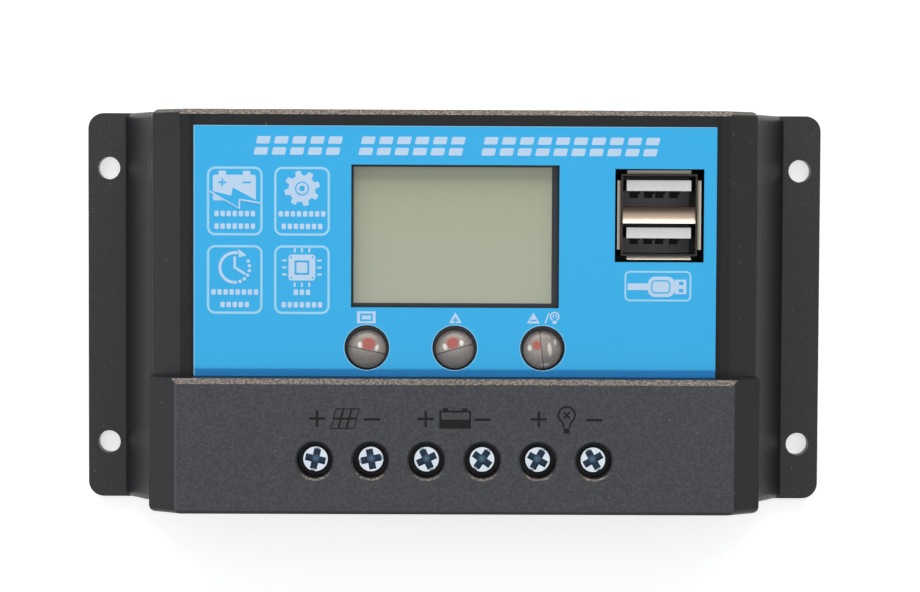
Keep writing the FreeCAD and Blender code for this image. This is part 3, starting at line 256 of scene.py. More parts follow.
# Blackening leaves a thin dark skin, through which the zinc still has a metal's sheen.
black_zinc = surface("blackened_zinc_steel", "4A4B4D", "5B5C5E", 1.5, 0.2, 0.006, (0.28, 0.45),
                     Metallic=1.0)
dress(black_zinc.finish, "rear_cover_screws")

# ---------------------------------------------------------------- face label
# A polycarbonate film, printed blue on its back and set into a shallow recess of the face.
# The marks are pale ink, drawn as shapes only, with blue left open inside them.

# The blue lies under clear film with a fine matt grain, so it looks even with a soft gloss.
film = surface("polycarbonate_film_blue", "33B3F0", "39B7F4", 18.0, 0.12, 0.0016, (0.30, 0.42),
               **{"Specular IOR Level": 0.25})
tree = film.tree
# Painted shade and reflection: a darker blue band along the label's foot, under the hood's step wall.
label_y = add_node(tree, "SeparateXYZ", {0: film.place}).outputs["Y"]
foot_shade_band = add_node(tree, "MapRange", {
    "Value": label_y, "From Min": recess_lo.y + 1.5 * mm, "From Max": recess_lo.y + 1.1 * mm})
foot_shaded = add_node(tree, "Mix", {0: foot_shade_band.outputs[0], 6: film.tone, 7: paint("1C80C6")},
                  data_type="RGBA")
tree.links.new(foot_shaded.outputs[2], film.body.inputs["Base Color"])
dress(film.finish, "face_label")
# Screen ink is a thin opaque layer, duller than the film. The frames' thin lines take on some
# of the blue round them.
pale_ink = surface("screen_ink_pale", "BBD8F6", "C3DFF9", 4.0, 0.15, 0.001, (0.35, 0.5))
line_ink = surface("screen_ink_line", "9AD7F8", "A4DDFB", 4.0, 0.15, 0.001, (0.35, 0.5))

label_lo, label_hi = (corner / mm for corner in (recess_lo, recess_hi))
ink_depth = 0.02
ink_level = label_hi.z


def make_piece(name, bm, finish, body):
    """Turns a bmesh drawn in millimetres into a piece that rides on a body."""
    bmesh.ops.recalc_face_normals(bm, faces=bm.faces)
    bmesh.ops.scale(bm, vec=(mm, mm, mm), verts=bm.verts)
    data = bpy.data.meshes.new(name)
    bm.to_mesh(data)
    bm.free()
    data.materials.append(finish)
    made = bpy.data.objects.new(name, data)
    scene.collection.objects.link(made)
    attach(made, body)
    return made


def bar(bm, x, y, wide, high, turn=0.0, slant=0.0, corner=0.0):
    """A flat bar about a centre, turned in degrees, leaning by slant and with round corners."""
    verts = bmesh.ops.create_grid(bm, x_segments=1, y_segments=1, size=0.5)["verts"]
    bmesh.ops.scale(bm, vec=(wide, high, 1), verts=verts)
    face = verts[0].link_faces[0]
    if corner:
        made = bmesh.ops.bevel(bm, geom=verts, offset=corner, offset_type="OFFSET", segments=6,
                               profile=0.5, affect="VERTICES", material=-1)
        face = max({f for v in made["verts"] for f in v.link_faces}, key=lambda f: f.calc_area())
        verts = list(face.verts)
    lean = Matrix.Identity(3)
    lean[0][1] = slant
    bmesh.ops.transform(bm, matrix=lean.to_4x4(), verts=verts)
    spot = Matrix.Translation((x, y, 0)) @ Matrix.Rotation(math.radians(turn), 4, "Z")
    bmesh.ops.transform(bm, matrix=spot, verts=verts)
    return face


def disc(bm, x, y, radius, sides=40):
    """A flat disc about a centre."""
    verts = bmesh.ops.create_circle(bm, cap_ends=True, segments=sides, radius=radius)["verts"]
    bmesh.ops.translate(bm, vec=(x, y, 0), verts=verts)
    return verts[0].link_faces[0]


def hollow(bm, face, line):
    """Leaves only a line of the given width round a face."""
    bmesh.ops.inset_region(bm, faces=[face], thickness=line, use_even_offset=True, use_boundary=True)
    bmesh.ops.delete(bm, geom=[face], context="FACES")


def cross(bm, x, y, size, line, turn=0.0):
    """Two crossed strokes, the second in two halves so that nothing lies over anything."""
    bar(bm, x, y, size, line, turn=turn)
    half = (size - line) / 2
    for side in (-1, 1):
        away = side * (line + half) / 2
        a = math.radians(turn + 90)
        bar(bm, x + away * math.cos(a), y + away * math.sin(a), half, line, turn=turn + 90)


def shape(bm, points):
    """A flat shape with straight sides through the points."""
    return bm.faces.new([bm.verts.new((x, y, 0)) for x, y in points])


def arc_band(bm, x, y, radius, line, start, sweep):
    """A curved band of the given line width, from a start angle through a sweep, in degrees."""
    a = math.radians(start)
    ends = [
        bm.verts.new((x + r * math.cos(a), y + r * math.sin(a), 0))
        for r in (radius - line / 2, radius + line / 2)
    ]
    edge = bm.edges.new(ends)
    bmesh.ops.spin(bm, geom=[*ends, edge], cent=(x, y, 0), axis=(0, 0, 1), angle=math.radians(sweep),
                   steps=max(4, int(abs(sweep) / 7)), use_merge=False, use_duplicate=False)


def printed(name, bm, level, finish, depth=ink_depth):
    """Gives flat shapes a printed thickness and lays them on a level."""
    bmesh.ops.translate(bm, vec=(0, 0, level), verts=bm.verts)
    raised = bmesh.ops.extrude_face_region(bm, geom=bm.faces[:], use_keep_orig=True)
    tops = [item for item in raised["geom"] if isinstance(item, bmesh.types.BMVert)]
    bmesh.ops.translate(bm, vec=(0, 0, depth), verts=tops)
    return make_piece(name, bm, finish, "case")


# The title band is two stacked rows of leaning blocks in three groups, with no letters.
title_groups = (5, 6, 10)
title_pitch, title_gap = 3.08, 2.55
block_wide, block_high, block_step = 2.3, 1.28, 1.9
block_slant, block_corner = 0.22, 0.22
title_left = label_lo.x + 10.6
title_row = label_hi.y - 3.45
bm = bmesh.new()
title_x = title_left
for count in title_groups:
    for step in range(count):
        for row in (-0.5, 0.5):
            lean_shift = row * block_step * block_slant
            bar(bm, title_x + block_wide / 2 + lean_shift, title_row + row * block_step,
                block_wide, block_high, slant=block_slant, corner=block_corner)
        title_x += title_pitch
    title_x += title_gap
printed("title_blocks", bm, ink_level, pale_ink.finish)

# Four framed pictures: battery, settings wheel, timer and chip, two by two.
icon_wide, icon_high, icon_line, icon_corner = 9.55, 11.8, 0.4, 1.4
icon_x = (label_lo.x + 7.06, label_lo.x + 18.58)
icon_y = (label_hi.y - 13.0, label_hi.y - 26.45)
bm = bmesh.new()
for x in icon_x:
    for y in icon_y:
        hollow(bm, bar(bm, x, y, icon_wide, icon_high, corner=icon_corner), icon_line)
printed("icon_frames", bm, ink_level, line_ink.finish)

# Caption bars take the place of words under each picture.
caption_runs = (
    (icon_x[0], icon_y[0], (7, 7)), (icon_x[1], icon_y[0], (8, 7)),
    (icon_x[0], icon_y[1], (8, 5)), (icon_x[1], icon_y[1], (3, 7)))
caption_pitch, caption_wide, caption_high, caption_drop = 1.04, 0.74, 0.95, 2.15
bm = bmesh.new()
for x, y, counts in caption_runs:
    for line, count in enumerate(counts):
        for step in range(count):
            spot_x = x + (step - (count - 1) / 2) * caption_pitch
            bar(bm, spot_x, y - caption_drop - line * caption_drop, caption_wide, caption_high,
                corner=0.2)
printed("caption_bars", bm, ink_level, pale_ink.finish)

# Battery with a bolt across it, which is open blue inside a pale edge. The three bmeshes lie
# one above another: pale marks, blue openings in them, and pale edges in the openings.
bm = bmesh.new()
open_bm = bmesh.new()
edge_bm = bmesh.new()
x, y = icon_x[0], icon_y[0]
battery_wide, battery_high = 7.37, 4.4
post_wide, post_high, post_out = 1.3, 0.68, 2.08
sign_size, sign_line, sign_rise = 1.36, 0.28, 3.21
bar(bm, x - 0.07, y + 2.3, battery_wide, battery_high, corner=0.33)
for side in (-1, 1):
    bar(bm, x - 0.05 + side * post_out, y + 4.84, post_wide, post_high)
cross(open_bm, x - 2.14, y + sign_rise, sign_size, sign_line)
bar(open_bm, x + 2.02, y + sign_rise, sign_size, sign_line)
bolt_top = ((-4.3, 1.81), (-0.6, 0.92), (-0.35, 2.32), (4.3, -0.15))
bolt_foot = ((0.68, 0.41), (0.64, -1.09))
bolt_edge = ((-4.3, 1.5), (0.89, -1.4), (0.93, 0.1), (4.3, -0.46))
shape(open_bm, [(x + px, y + py) for px, py in bolt_top + bolt_foot])
foot_line = (bolt_top[0], bolt_foot[1], bolt_foot[0], bolt_top[3]) + bolt_edge[::-1]
shape(edge_bm, [(x + px, y + py) for px, py in foot_line])
printed("battery_picture", bm, ink_level, pale_ink.finish)

# Settings wheel with eight teeth.
x, y = icon_x[1], icon_y[0] + 2.2
bm = bmesh.new()
teeth, root_radius, tip_radius, steps_each = 8, 2.3, 3.05, 8
wheel = bmesh.ops.create_circle(bm, cap_ends=True, segments=teeth * steps_each, radius=root_radius)
for number, vert in enumerate(wheel["verts"]):
    if number % steps_each in (1, 2, 3, 4):
        vert.co *= tip_radius / root_radius
bmesh.ops.translate(bm, vec=(x, y, 0), verts=wheel["verts"])
printed("settings_picture", bm, ink_level, pale_ink.finish)
bore_radius, hub_radius, hub_line = 1.2, 0.98, 0.5
disc(open_bm, x, y, bore_radius)
hollow(edge_bm, disc(edge_bm, x, y, hub_radius), hub_line)

# Timer: a broken ring that ends in an arrow, a dotted arc and two hands.
x, y = icon_x[0], icon_y[1] + 2.05
ring_radius, ring_line, dot_radius, dot_turn, hand_line = 2.55, 0.5, 0.3, 19, 0.42
bm = bmesh.new()
arc_band(bm, x, y, ring_radius, ring_line, 78, 190)
shape(bm, [(x + 0.6, y + 3.2), (x + 0.72, y + 1.75), (x + 2.05, y + 2.1)])
for step in range(7):
    angle = math.radians(26 - step * dot_turn)
    disc(bm, x + ring_radius * math.cos(angle), y + ring_radius * math.sin(angle), dot_radius, sides=16)
bar(bm, x, y + 0.85, hand_line, 2.1)
bar(bm, x + 1.0, y - 0.6, 1.9, hand_line, turn=-32)
printed("timer_picture", bm, ink_level, pale_ink.finish)

# Chip with three legs on each side.
x, y = icon_x[1], icon_y[1] + 2.1
chip_wide, chip_high, leg_wide, leg_long = 4.6, 4.45, 0.34, 0.75
bm = bmesh.new()
bar(bm, x, y, chip_wide, chip_high, corner=0.5)
for step in (-1, 0, 1):
    for side in (-1, 1):
        bar(bm, x + step * 1.25, y + side * 2.95, leg_wide, leg_long)
        bar(bm, x + side * 3.0, y + step * 1.2, leg_long, leg_wide)
printed("chip_picture", bm, ink_level, pale_ink.finish)
die_wide, die_high, die_line = 2.5, 2.45, 0.32
hollow(open_bm, bar(open_bm, x, y, die_wide, die_high, corner=0.2), die_line)
for side_x in (-1, 1):
    for side_y in (-1, 1):
        disc(open_bm, x + side_x * 1.85, y + side_y * 1.75, 0.16, sides=12)


def middle_of(node):
    """The middle of a CAD node's box across and up the face, in millimetres."""
    low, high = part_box(node)
    return (low.x + high.x) / 2 / mm, (low.y + high.y) / 2 / mm


# Marks over the three buttons: a nested square, a triangle with a plus, and a triangle with
# a minus beside a stroke and a lamp.
button_x = [middle_of(name + "_button")[0] for name in ("menu", "up", "down")]
mark_row = label_lo.y + 10.2
triangle_half, triangle_foot, triangle_tip = 1.12, 0.95, 0.9
bm = bmesh.new()
bar(bm, button_x[0] - 0.1, mark_row, 3.2, 2.05)
hollow(open_bm, bar(open_bm, button_x[0] - 0.1, mark_row, 2.15, 1.3), 0.3)
for centre, has_plus in ((button_x[1] + 0.1, True), (button_x[2] - 1.6, False)):
    shape(bm, [(centre - triangle_half, mark_row - triangle_foot),
               (centre + triangle_half, mark_row - triangle_foot), (centre, mark_row + triangle_tip)])
    if has_plus:
        cross(open_bm, centre, mark_row - 0.42, 1.0, 0.24)
    else:
        bar(open_bm, centre, mark_row - 0.42, 1.0, 0.24)
bar(bm, button_x[2] + 0.75, mark_row - 0.05, 0.22, 1.9, turn=-20)
lamp_x = button_x[2] + 2.05
for radius, line in ((0.72, 0.24), (0.3, 0.16)):
    arc_band(bm, lamp_x, mark_row + 0.25, radius, line, -60, 300)
bar(bm, lamp_x, mark_row - 0.74, 0.7, 0.55, corner=0.1)
printed("button_marks", bm, ink_level, pale_ink.finish)

# Framed plug picture under the twin socket: its lead, grip and shell with two holes.
shell_lo, shell_hi = (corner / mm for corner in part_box("usb_shell"))
x = (shell_lo.x + shell_hi.x) / 2 - 0.2
y = label_lo.y + 15.75
plug_row = y - 0.1
bm = bmesh.new()
hollow(bm, bar(bm, x, y, 11.5, 5.25, corner=0.9), 0.32)
printed("socket_mark_frame", bm, ink_level, line_ink.finish)
bm = bmesh.new()
bar(bm, x - 3.45, plug_row, 3.5, 1.15)
bar(bm, x + 0.6, plug_row, 4.6, 3.5, corner=1.2)
bar(bm, x + 3.91, plug_row, 2.0, 2.5)
printed("socket_mark", bm, ink_level, pale_ink.finish)
for side in (-1, 1):
    bar(open_bm, x + 4.0, plug_row + side * 0.62, 0.75, 0.55)
hollow(open_bm, bar(open_bm, x + 0.5, plug_row, 3.3, 2.3, corner=0.7), 0.22)

# A thin pale line is painted on as a painted highlight where the film's cut edges meet the light: round
# the buttons, down the left side and along the top.
cut_edge = surface("film_cut_edge", "8ED3F6", "A8DDF8", 5.0, 0.3, 0.001, (0.3, 0.45))
hole_y = middle_of("menu_button")[1] + 0.3
hole_radius, hole_edge, side_edge, top_edge = 3.98, 0.1, 0.12, 0.08
label_middle = (label_lo + label_hi) / 2
label_wide, label_high = label_hi.x - label_lo.x, label_hi.y - label_lo.y
bm = bmesh.new()
for hole_x in button_x:
    hollow(bm, disc(bm, hole_x, hole_y, hole_radius, sides=64), hole_edge)
bar(bm, label_lo.x + 0.08, label_middle.y, side_edge, label_high - 0.1)
bar(bm, label_middle.x, label_hi.y - 0.08, label_wide - 0.4, top_edge)
printed("film_edge_highlights", bm, ink_level, cut_edge.finish)
printed("open_blue_marks", open_bm, ink_level + ink_depth, film.finish)
printed("pale_edges", edge_bm, ink_level + 2 * ink_depth, pale_ink.finish)

# ---------------------------------------------------------------- display
# A reflective liquid-crystal cell behind the window: glass, a grey-green polariser with a
# black border, a milky light guide, rubber contact strips and the moulded frame round them.

film_lo, film_hi = (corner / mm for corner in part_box("lcd_polariser"))
# The polariser is a smooth plastic film with a reflecting layer under it, so it shines softly. Its colour
# drifts a little from foot to top as painted reflection and shade.
grey_green = surface("polariser_film", "9EA38A", "A1A68E", 25.0, 0.2, 0.0008, (0.22, 0.3),
                     **{"Coat Weight": 0.4, "Coat Roughness": 0.12})
tree = grey_green.tree
rise = add_node(tree, "SeparateXYZ", {0: grey_green.place}).outputs["Y"]
shade = add_node(tree, "MapRange", {
    "Value": rise, "From Min": film_lo.y * mm, "From Max": film_hi.y * mm})
film_light_drift = add_node(tree, "Mix", {0: shade.outputs[0], 6: paint("ABB09E"), 7: paint("AAB093")},
                     data_type="RGBA")
tree.links.new(film_light_drift.outputs[2], grey_green.body.inputs["Base Color"])
dress(grey_green.finish, "lcd_polariser")

# Float glass is clear and nearly mirror-smooth, with a trace of green.
cell_glass = surface("float_glass", "DDE8E2", "E2ECE6", 20.0, 1.0, 0.0005, (0.02, 0.05),
                     IOR=1.52, **{"Transmission Weight": 0.85})
dress(cell_glass.finish, "lcd_glass")

# The border is blue-black ink, printed wider at the foot and the right than elsewhere.
border_ink = surface("border_ink_black", "23272F", "2A2F38", 5.0, 0.25, 0.001, (0.3, 0.42))
film_lap = 0.5
seen_left, seen_right = film_lo.x + film_lap + 0.3, film_hi.x - film_lap - 1.15
seen_low, seen_top = film_lo.y + film_lap + 0.65, film_hi.y - film_lap - 0.3
bm = bmesh.new()
for x0, x1, y0, y1 in (
    (film_lo.x, seen_left, film_lo.y, film_hi.y), (seen_right, film_hi.x, film_lo.y, film_hi.y),
    (seen_left, seen_right, film_lo.y, seen_low), (seen_left, seen_right, seen_top, film_hi.y),
):
    bar(bm, (x0 + x1) / 2, (y0 + y1) / 2, x1 - x0, y1 - y0)
bmesh.ops.remove_doubles(bm, verts=bm.verts, dist=0.001)
printed("display_border", bm, film_hi.z, border_ink.finish)

# Milky acrylic spreads the light, white nylon throws it back, and the strips show their
# conducting layers as dark and pale bands about 0.6 mm apart, coarser than real ones.
milky = surface("cast_acrylic_milky", "E4E8E2", "ECEFEA", 10.0, 0.4, 0.002, (0.3, 0.42),
                IOR=1.49, **{"Transmission Weight": 0.3})
dress(milky.finish, "lcd_light_guide")
white_moulding = surface("moulded_nylon_white", "DDDEDF", "E6E7E9", 6.0, 0.25, 0.004, (0.3, 0.42))
dress(white_moulding.finish, "lcd_frame", "backlight_led")
striped_rubber = surface("layered_silicone", "59595B", "66666A", 2.0, 0.3, 0.004, (0.55, 0.7))
tree = striped_rubber.tree
# A wave node at scale 1 repeats every pi / 10.
layer_pitch = 0.2 * math.pi
bands = add_node(tree, "TexWave", {
    "Vector": striped_rubber.place, "Scale": math.pi / 10 / (layer_pitch * mm)},
    wave_type="BANDS", bands_direction="Z")
layered = add_node(tree, "Mix", {0: bands.outputs["Fac"], 6: paint("3A3A3C"), 7: paint("A9A9AB")},
                   data_type="RGBA")
tree.links.new(layered.outputs[2], striped_rubber.body.inputs["Base Color"])
dress(striped_rubber.finish, "lcd_contact_strips")

# ---------------------------------------------------------------- buttons and their switches
# Clear polycarbonate caps with a mould line across the dome, red nylon stems inside them, and
# tactile switches with pressed steel lids and snap domes under the stems.

cap_y, cap_top = middle_of("menu_button")[1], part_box("menu_button")[1].z / mm


def cap_finish(name, middle_x, seam_turn, seam_shift, stem_view_spot, painted_glints, far_painted_glints=()):
    """Smoky clear plastic with a mould seam. Past the seam the half is painted lighter, and the stem seen
    through the dome and bright spots are painted on as colour; the base of the cap is painted near black
    as shade.

    A spot is its place from the cap's middle and its half sizes, in millimetres.
    """
    made = surface(name, "8F8885", "A39B97", 1.3, 0.45, 0.004, (0.2, 0.34), IOR=1.58,
                   **{"Transmission Weight": 0.06, "Coat Weight": 0.15, "Coat Roughness": 0.08,
                      "Specular IOR Level": 0.3})
    tree = made.tree
    turn = (0, 0, math.radians(seam_turn))

    def spot_mask(across, up, half_wide, half_high):
        local = add_node(tree, "Mapping", {
            "Vector": made.place, "Location": ((middle_x + across) * mm, (cap_y + up) * mm, 0),
            "Rotation": turn, "Scale": (half_wide * mm, half_high * mm, 1)}, vector_type="TEXTURE")
        reach = add_node(tree, "VectorMath", {0: local.outputs[0]}, operation="LENGTH")
        return add_node(tree, "MapRange", {
            "Value": reach.outputs["Value"], "From Min": 1.05, "From Max": 0.62}).outputs[0]

    along = add_node(tree, "Mapping", {
        "Vector": made.place, "Location": (middle_x * mm, cap_y * mm, 0), "Rotation": turn,
        "Scale": (mm, mm, mm)}, vector_type="TEXTURE")
    height = add_node(tree, "SeparateXYZ", {0: along.outputs[0]}).outputs["Y"]
    from_seam = add_node(tree, "Math", {0: height, 1: seam_shift}, operation="SUBTRACT")
    above = add_node(tree, "Math", {0: from_seam.outputs[0], 1: 0.0},
                     operation="GREATER_THAN").outputs[0]
    distance = add_node(tree, "Math", {0: from_seam.outputs[0]}, operation="ABSOLUTE")
    seam = add_node(tree, "MapRange", {
        "Value": distance.outputs[0], "From Min": 0.1, "From Max": 0.03})
    collar_shade = add_node(tree, "MapRange", {
        "Value": add_node(tree, "SeparateXYZ", {0: made.place}).outputs["Z"],
        "From Min": (cap_top - 1.1) * mm, "From Max": (cap_top - 1.22) * mm})
    # Painted light: a lighter half past the seam, bright spots and the stem's red seen through the dome.
    # Painted shade: the near-black base of the cap.
    layers = [(above, "A69D98")]
    for glint in painted_glints:
        seen = add_node(tree, "Math", {0: spot_mask(*glint), 1: above}, operation="MULTIPLY")
        layers.append((seen.outputs[0], "F6F3EF"))
    layers += [(spot_mask(*glint), "DCD8CF") for glint in far_painted_glints]
    seen = add_node(tree, "Math", {0: spot_mask(*stem_view_spot), 1: above}, operation="MULTIPLY")
    layers += [(seen.outputs[0], "B3615A"), (seam.outputs[0], "2E2725"), (collar_shade.outputs[0], "050506")]
    colour = made.tone
    for mask, code in layers:
        layer = add_node(tree, "Mix", {0: mask, 6: colour, 7: paint(code)}, data_type="RGBA")
        colour = layer.outputs[2]
    tree.links.new(colour, made.body.inputs["Base Color"])
    return made.finish


# The dome bends what lies under it; each cap's view of its stem and of the lights elsewhere is painted on
# as colour.
menu_cap = cap_finish(
    "clear_cap_menu", button_x[0], seam_turn=-12.5, seam_shift=-0.15,
    stem_view_spot=(0.3, 0.9, 1.45, 1.25), painted_glints=((-1.15, 0.75, 0.5, 0.6), (1.7, 0.25, 0.4, 0.6)))
up_cap = cap_finish(
    "clear_cap_up", button_x[1], seam_turn=16, seam_shift=0.05,
    stem_view_spot=(-0.35, 1.1, 1.3, 1.15), painted_glints=((-1.65, 0.45, 0.45, 0.65), (1.15, 1.15, 0.45, 0.55)))
down_cap = cap_finish(
    "clear_cap_down", button_x[2], seam_turn=97, seam_shift=0.15,
    stem_view_spot=(-0.95, 0.75, 0.95, 0.9), painted_glints=((-2.2, 0.3, 0.6, 0.4),),
    far_painted_glints=((1.25, 0.1, 1.3, 0.4), (0.45, -2.6, 0.3, 0.9), (2.2, 1.3, 0.6, 0.3)))
dress(menu_cap, "menu_button")
dress(up_cap, "up_button")
dress(down_cap, "down_button")
# Moulded nylon has a waxy sheen; the lids and domes are bright steel, pressed smooth.
red_nylon = surface("moulded_nylon_red", "B8403A", "C54A42", 2.0, 0.2, 0.003, (0.32, 0.45))
dress(red_nylon.finish, "menu_stem", "up_stem", "down_stem")
black_nylon = surface("moulded_nylon_black", "242426", "2B2B2D", 4.0, 0.25, 0.006, (0.42, 0.55))
dress(black_nylon.finish, "switch_bases", "board_header", "board_socket", "terminal_block")
pressed_steel = surface("pressed_nickel_steel", "B9B7B2", "C6C4BF", 3.0, 0.15, 0.003, (0.2, 0.34),
                        Metallic=1.0)
dress(pressed_steel.finish, "switch_lids", "switch_domes")

# ---------------------------------------------------------------- twin charging socket
# Folded nickel-plated steel round two ports, with flared lips that press on the plug's shell,
# a dished divider between the ports, and a white tongue with four gilt contacts in each.

# The steel down in the ports is painted dark grey as painted shade, and the lips are painted bright as a
# painted highlight.
socket_steel = surface("folded_nickel_steel", "3B3734", "46413D", 4.0, 0.18, 0.003, (0.3, 0.44))
tree = socket_steel.tree
shell_place = add_node(tree, "SeparateXYZ", {0: socket_steel.place}).outputs
lip_reach = 0.6
beyond = []
for axis, low, high in (("X", shell_lo.x, shell_hi.x), ("Y", shell_lo.y, shell_hi.y)):
    offset = add_node(tree, "Math", {0: shell_place[axis], 1: (low + high) / 2 * mm},
                      operation="SUBTRACT")
    reach = add_node(tree, "Math", {0: offset.outputs[0]}, operation="ABSOLUTE")
    past = add_node(tree, "Math", {0: reach.outputs[0], 1: ((high - low) / 2 - lip_reach) * mm},
                    operation="GREATER_THAN")
    beyond.append(past.outputs[0])
lip_highlight_mask = add_node(tree, "Math", {0: beyond[0], 1: beyond[1]}, operation="MAXIMUM")
lip_highlight_tone = add_node(tree, "Mix", {0: lip_highlight_mask.outputs[0], 6: socket_steel.tone, 7: paint("F4EADB")},
                    data_type="RGBA")
inner_metal = add_node(tree, "MapRange", {"Value": lip_highlight_mask.outputs[0], "To Min": 1.0, "To Max": 0.15})
tree.links.new(lip_highlight_tone.outputs[2], socket_steel.body.inputs["Base Color"])
tree.links.new(inner_metal.outputs[0], socket_steel.body.inputs["Metallic"])
dress(socket_steel.finish, "usb_shell")
# A thin gold wash over nickel is a brownish yellow, and the springs are painted darker as painted shade.
gilt = surface("gilt_contact", "8C7446", "A08652", 1.0, 0.15, 0.002, (0.22, 0.34), Metallic=1.0)
dress(gilt.finish, "header_pins")
shaded_contact = surface("shaded_contact_spring", "3B3630", "48423A", 1.0, 0.15, 0.002, (0.35, 0.5),
                       Metallic=1.0)
dress(shaded_contact.finish, "usb_contacts")

# The divider's dish is painted pale at its lower rim and warm brown at its upper one, as painted light
# and shade.
divider_lo, divider_hi = (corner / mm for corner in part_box("usb_divider"))
warm_steel = surface("nickel_steel_dish_lit", "A58F7F", "B39E8E", 4.0, 0.3, 0.001, (0.4, 0.5),
                     Metallic=1.0)
tree = warm_steel.tree
dish_rise = add_node(tree, "MapRange", {
    "Value": add_node(tree, "SeparateXYZ", {0: warm_steel.place}).outputs["Y"],
    "From Min": divider_lo.y * mm, "From Max": divider_hi.y * mm})
dish_light_and_shade = add_node(tree, "Mix", {0: dish_rise.outputs[0], 6: paint("DCCBB8"), 7: paint("7F675A")},
                   data_type="RGBA")
tree.links.new(dish_light_and_shade.outputs[2], warm_steel.body.inputs["Base Color"])
sheet_thick, dish_depth = 0.3, 0.55
divider_x, divider_y = middle_of("usb_divider")
dish_half = (divider_hi.y - divider_lo.y) / 2
bm = bmesh.new()
bmesh.ops.create_grid(bm, x_segments=1, y_segments=16, size=0.5)
bmesh.ops.scale(bm, vec=(divider_hi.x - divider_lo.x, 2 * dish_half, 1), verts=bm.verts)
for vert in bm.verts:
    vert.co.z = -dish_depth * (1 - (vert.co.y / dish_half) ** 2)
side_edges = [edge for edge in bm.edges if edge.is_boundary
              and all(abs(abs(vert.co.y) - dish_half) < 1e-4 for vert in edge.verts)]
walls = bmesh.ops.extrude_edge_only(bm, edges=side_edges)
wall_feet = [item for item in walls["geom"] if isinstance(item, bmesh.types.BMVert)]
bmesh.ops.translate(bm, vec=(0, 0, divider_lo.z - divider_hi.z), verts=wall_feet)
bmesh.ops.recalc_face_normals(bm, faces=bm.faces)
bmesh.ops.solidify(bm, geom=bm.faces[:], thickness=sheet_thick)
bmesh.ops.translate(bm, vec=(divider_x, divider_y, divider_hi.z), verts=bm.verts)
divider = make_piece("port_divider", bm, warm_steel.finish, "case")
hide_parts("usb_divider")

# Below the tongue's tip the white nylon is painted grey as painted shade, and a black patch is painted
# under each tongue for every contact spring as the shade in its slot.
tongue_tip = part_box("usb_insulator")[1].z
port_white = surface("tongue_white_nylon", "DDDEDF", "E6E7E9", 6.0, 0.25, 0.004, (0.3, 0.42))
tree = port_white.tree
tongue_rise = add_node(tree, "SeparateXYZ", {0: port_white.place}).outputs["Z"]
deep_shade = add_node(tree, "MapRange", {
    "Value": tongue_rise, "From Min": tongue_tip - 0.3 * mm, "From Max": tongue_tip - 1.0 * mm})
tongue_shaded = add_node(tree, "Mix", {0: deep_shade.outputs[0], 6: port_white.tone, 7: paint("979797")},
                    data_type="RGBA")
tree.links.new(tongue_shaded.outputs[2], port_white.body.inputs["Base Color"])
dress(port_white.finish, "usb_insulator")
slot_shade = surface("contact_slot_shade", "060607", "0A0A0B", 2.0, 0.3, 0.002, (0.5, 0.6))
contact_lo, contact_hi = (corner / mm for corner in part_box("usb_contacts"))
contact_wide, contact_thick = 1.0, 0.2
outer_x, inner_step = (contact_hi.x - contact_lo.x - contact_wide) / 2, 1.0
slot_wide, slot_tall, notch_wide, notch_tall = 1.5, 1.05, 0.3, 0.4
# Painted shade: black patches where the spring slots open under each tongue.
bm = bmesh.new()
for under in (contact_hi.y, contact_lo.y + contact_thick):
    for across in (-outer_x, -inner_step, inner_step, outer_x):
        slot_x = (contact_lo.x + contact_hi.x) / 2 + across
        bar(bm, slot_x, under - contact_thick - slot_tall / 2, slot_wide, slot_tall)
        bar(bm, slot_x + slot_wide / 2 + notch_wide / 2, under - contact_thick - notch_tall / 2,
            notch_wide, notch_tall)
printed("contact_slot_shades", bm, contact_lo.z + 0.01, slot_shade.finish, depth=0.04)

# ---------------------------------------------------------------- terminal strip
# Six captive screws of bright zinc-plated steel over rising cages of nickel-plated steel and
# tinned copper bars, all in a black nylon block that shows at the foot of the case.

POLES = ("solar_plus", "solar_minus", "battery_plus", "battery_minus", "load_plus", "load_minus")
# Bright zinc has a cold blue shine on the heads. The cross recess is painted as shade, dark blue at its
# floor with a painted highlight as a lighter spot in the middle, and greyer on its walls.
bright_zinc = surface("bright_zinc_steel", "C8D2DC", "DCE4EC", 1.2, 0.12, 0.003, (0.16, 0.3),
                      Metallic=1.0)
tree = bright_zinc.tree
screw_lo, screw_hi = (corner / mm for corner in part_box("solar_plus_screw"))
pole_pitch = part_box("solar_minus_screw")[0].x / mm - screw_lo.x
head_radius, head_high = 2.3, 1.45
floor_depth, wall_depth, notch_depth, brim_depth = 0.95, 0.72, 0.5, 0.1
spot_radius, spot_core = 0.8, 0.1
screw_place = add_node(tree, "SeparateXYZ", {0: bright_zinc.place}).outputs
wrapped = add_node(tree, "Math", {0: screw_place["X"], 1: pole_pitch * mm, 2: 0.0}, operation="WRAP")
off_x = add_node(tree, "Math", {0: wrapped.outputs[0], 1: pole_pitch / 2 * mm}, operation="SUBTRACT")
off_y = add_node(tree, "Math", {0: screw_place["Y"], 1: (screw_lo.y + screw_hi.y) / 2 * mm},
                 operation="SUBTRACT")
off_axis = add_node(tree, "CombineXYZ", {0: off_x.outputs[0], 1: off_y.outputs[0]})
from_axis = add_node(tree, "VectorMath", {0: off_axis.outputs[0]}, operation="LENGTH")
near_axis = add_node(tree, "Math", {0: from_axis.outputs["Value"], 1: head_radius * mm},
                     operation="LESS_THAN")
above_foot = add_node(tree, "Math", {0: screw_place["Z"], 1: (screw_hi.z - head_high) * mm},
                      operation="GREATER_THAN")
in_head = add_node(tree, "Math", {0: near_axis.outputs[0], 1: above_foot.outputs[0]},
                   operation="MULTIPLY")
past_floor = add_node(tree, "MapRange", {
    "Value": screw_place["Z"], "From Min": (screw_hi.z - floor_depth) * mm,
    "From Max": (screw_hi.z - wall_depth) * mm})
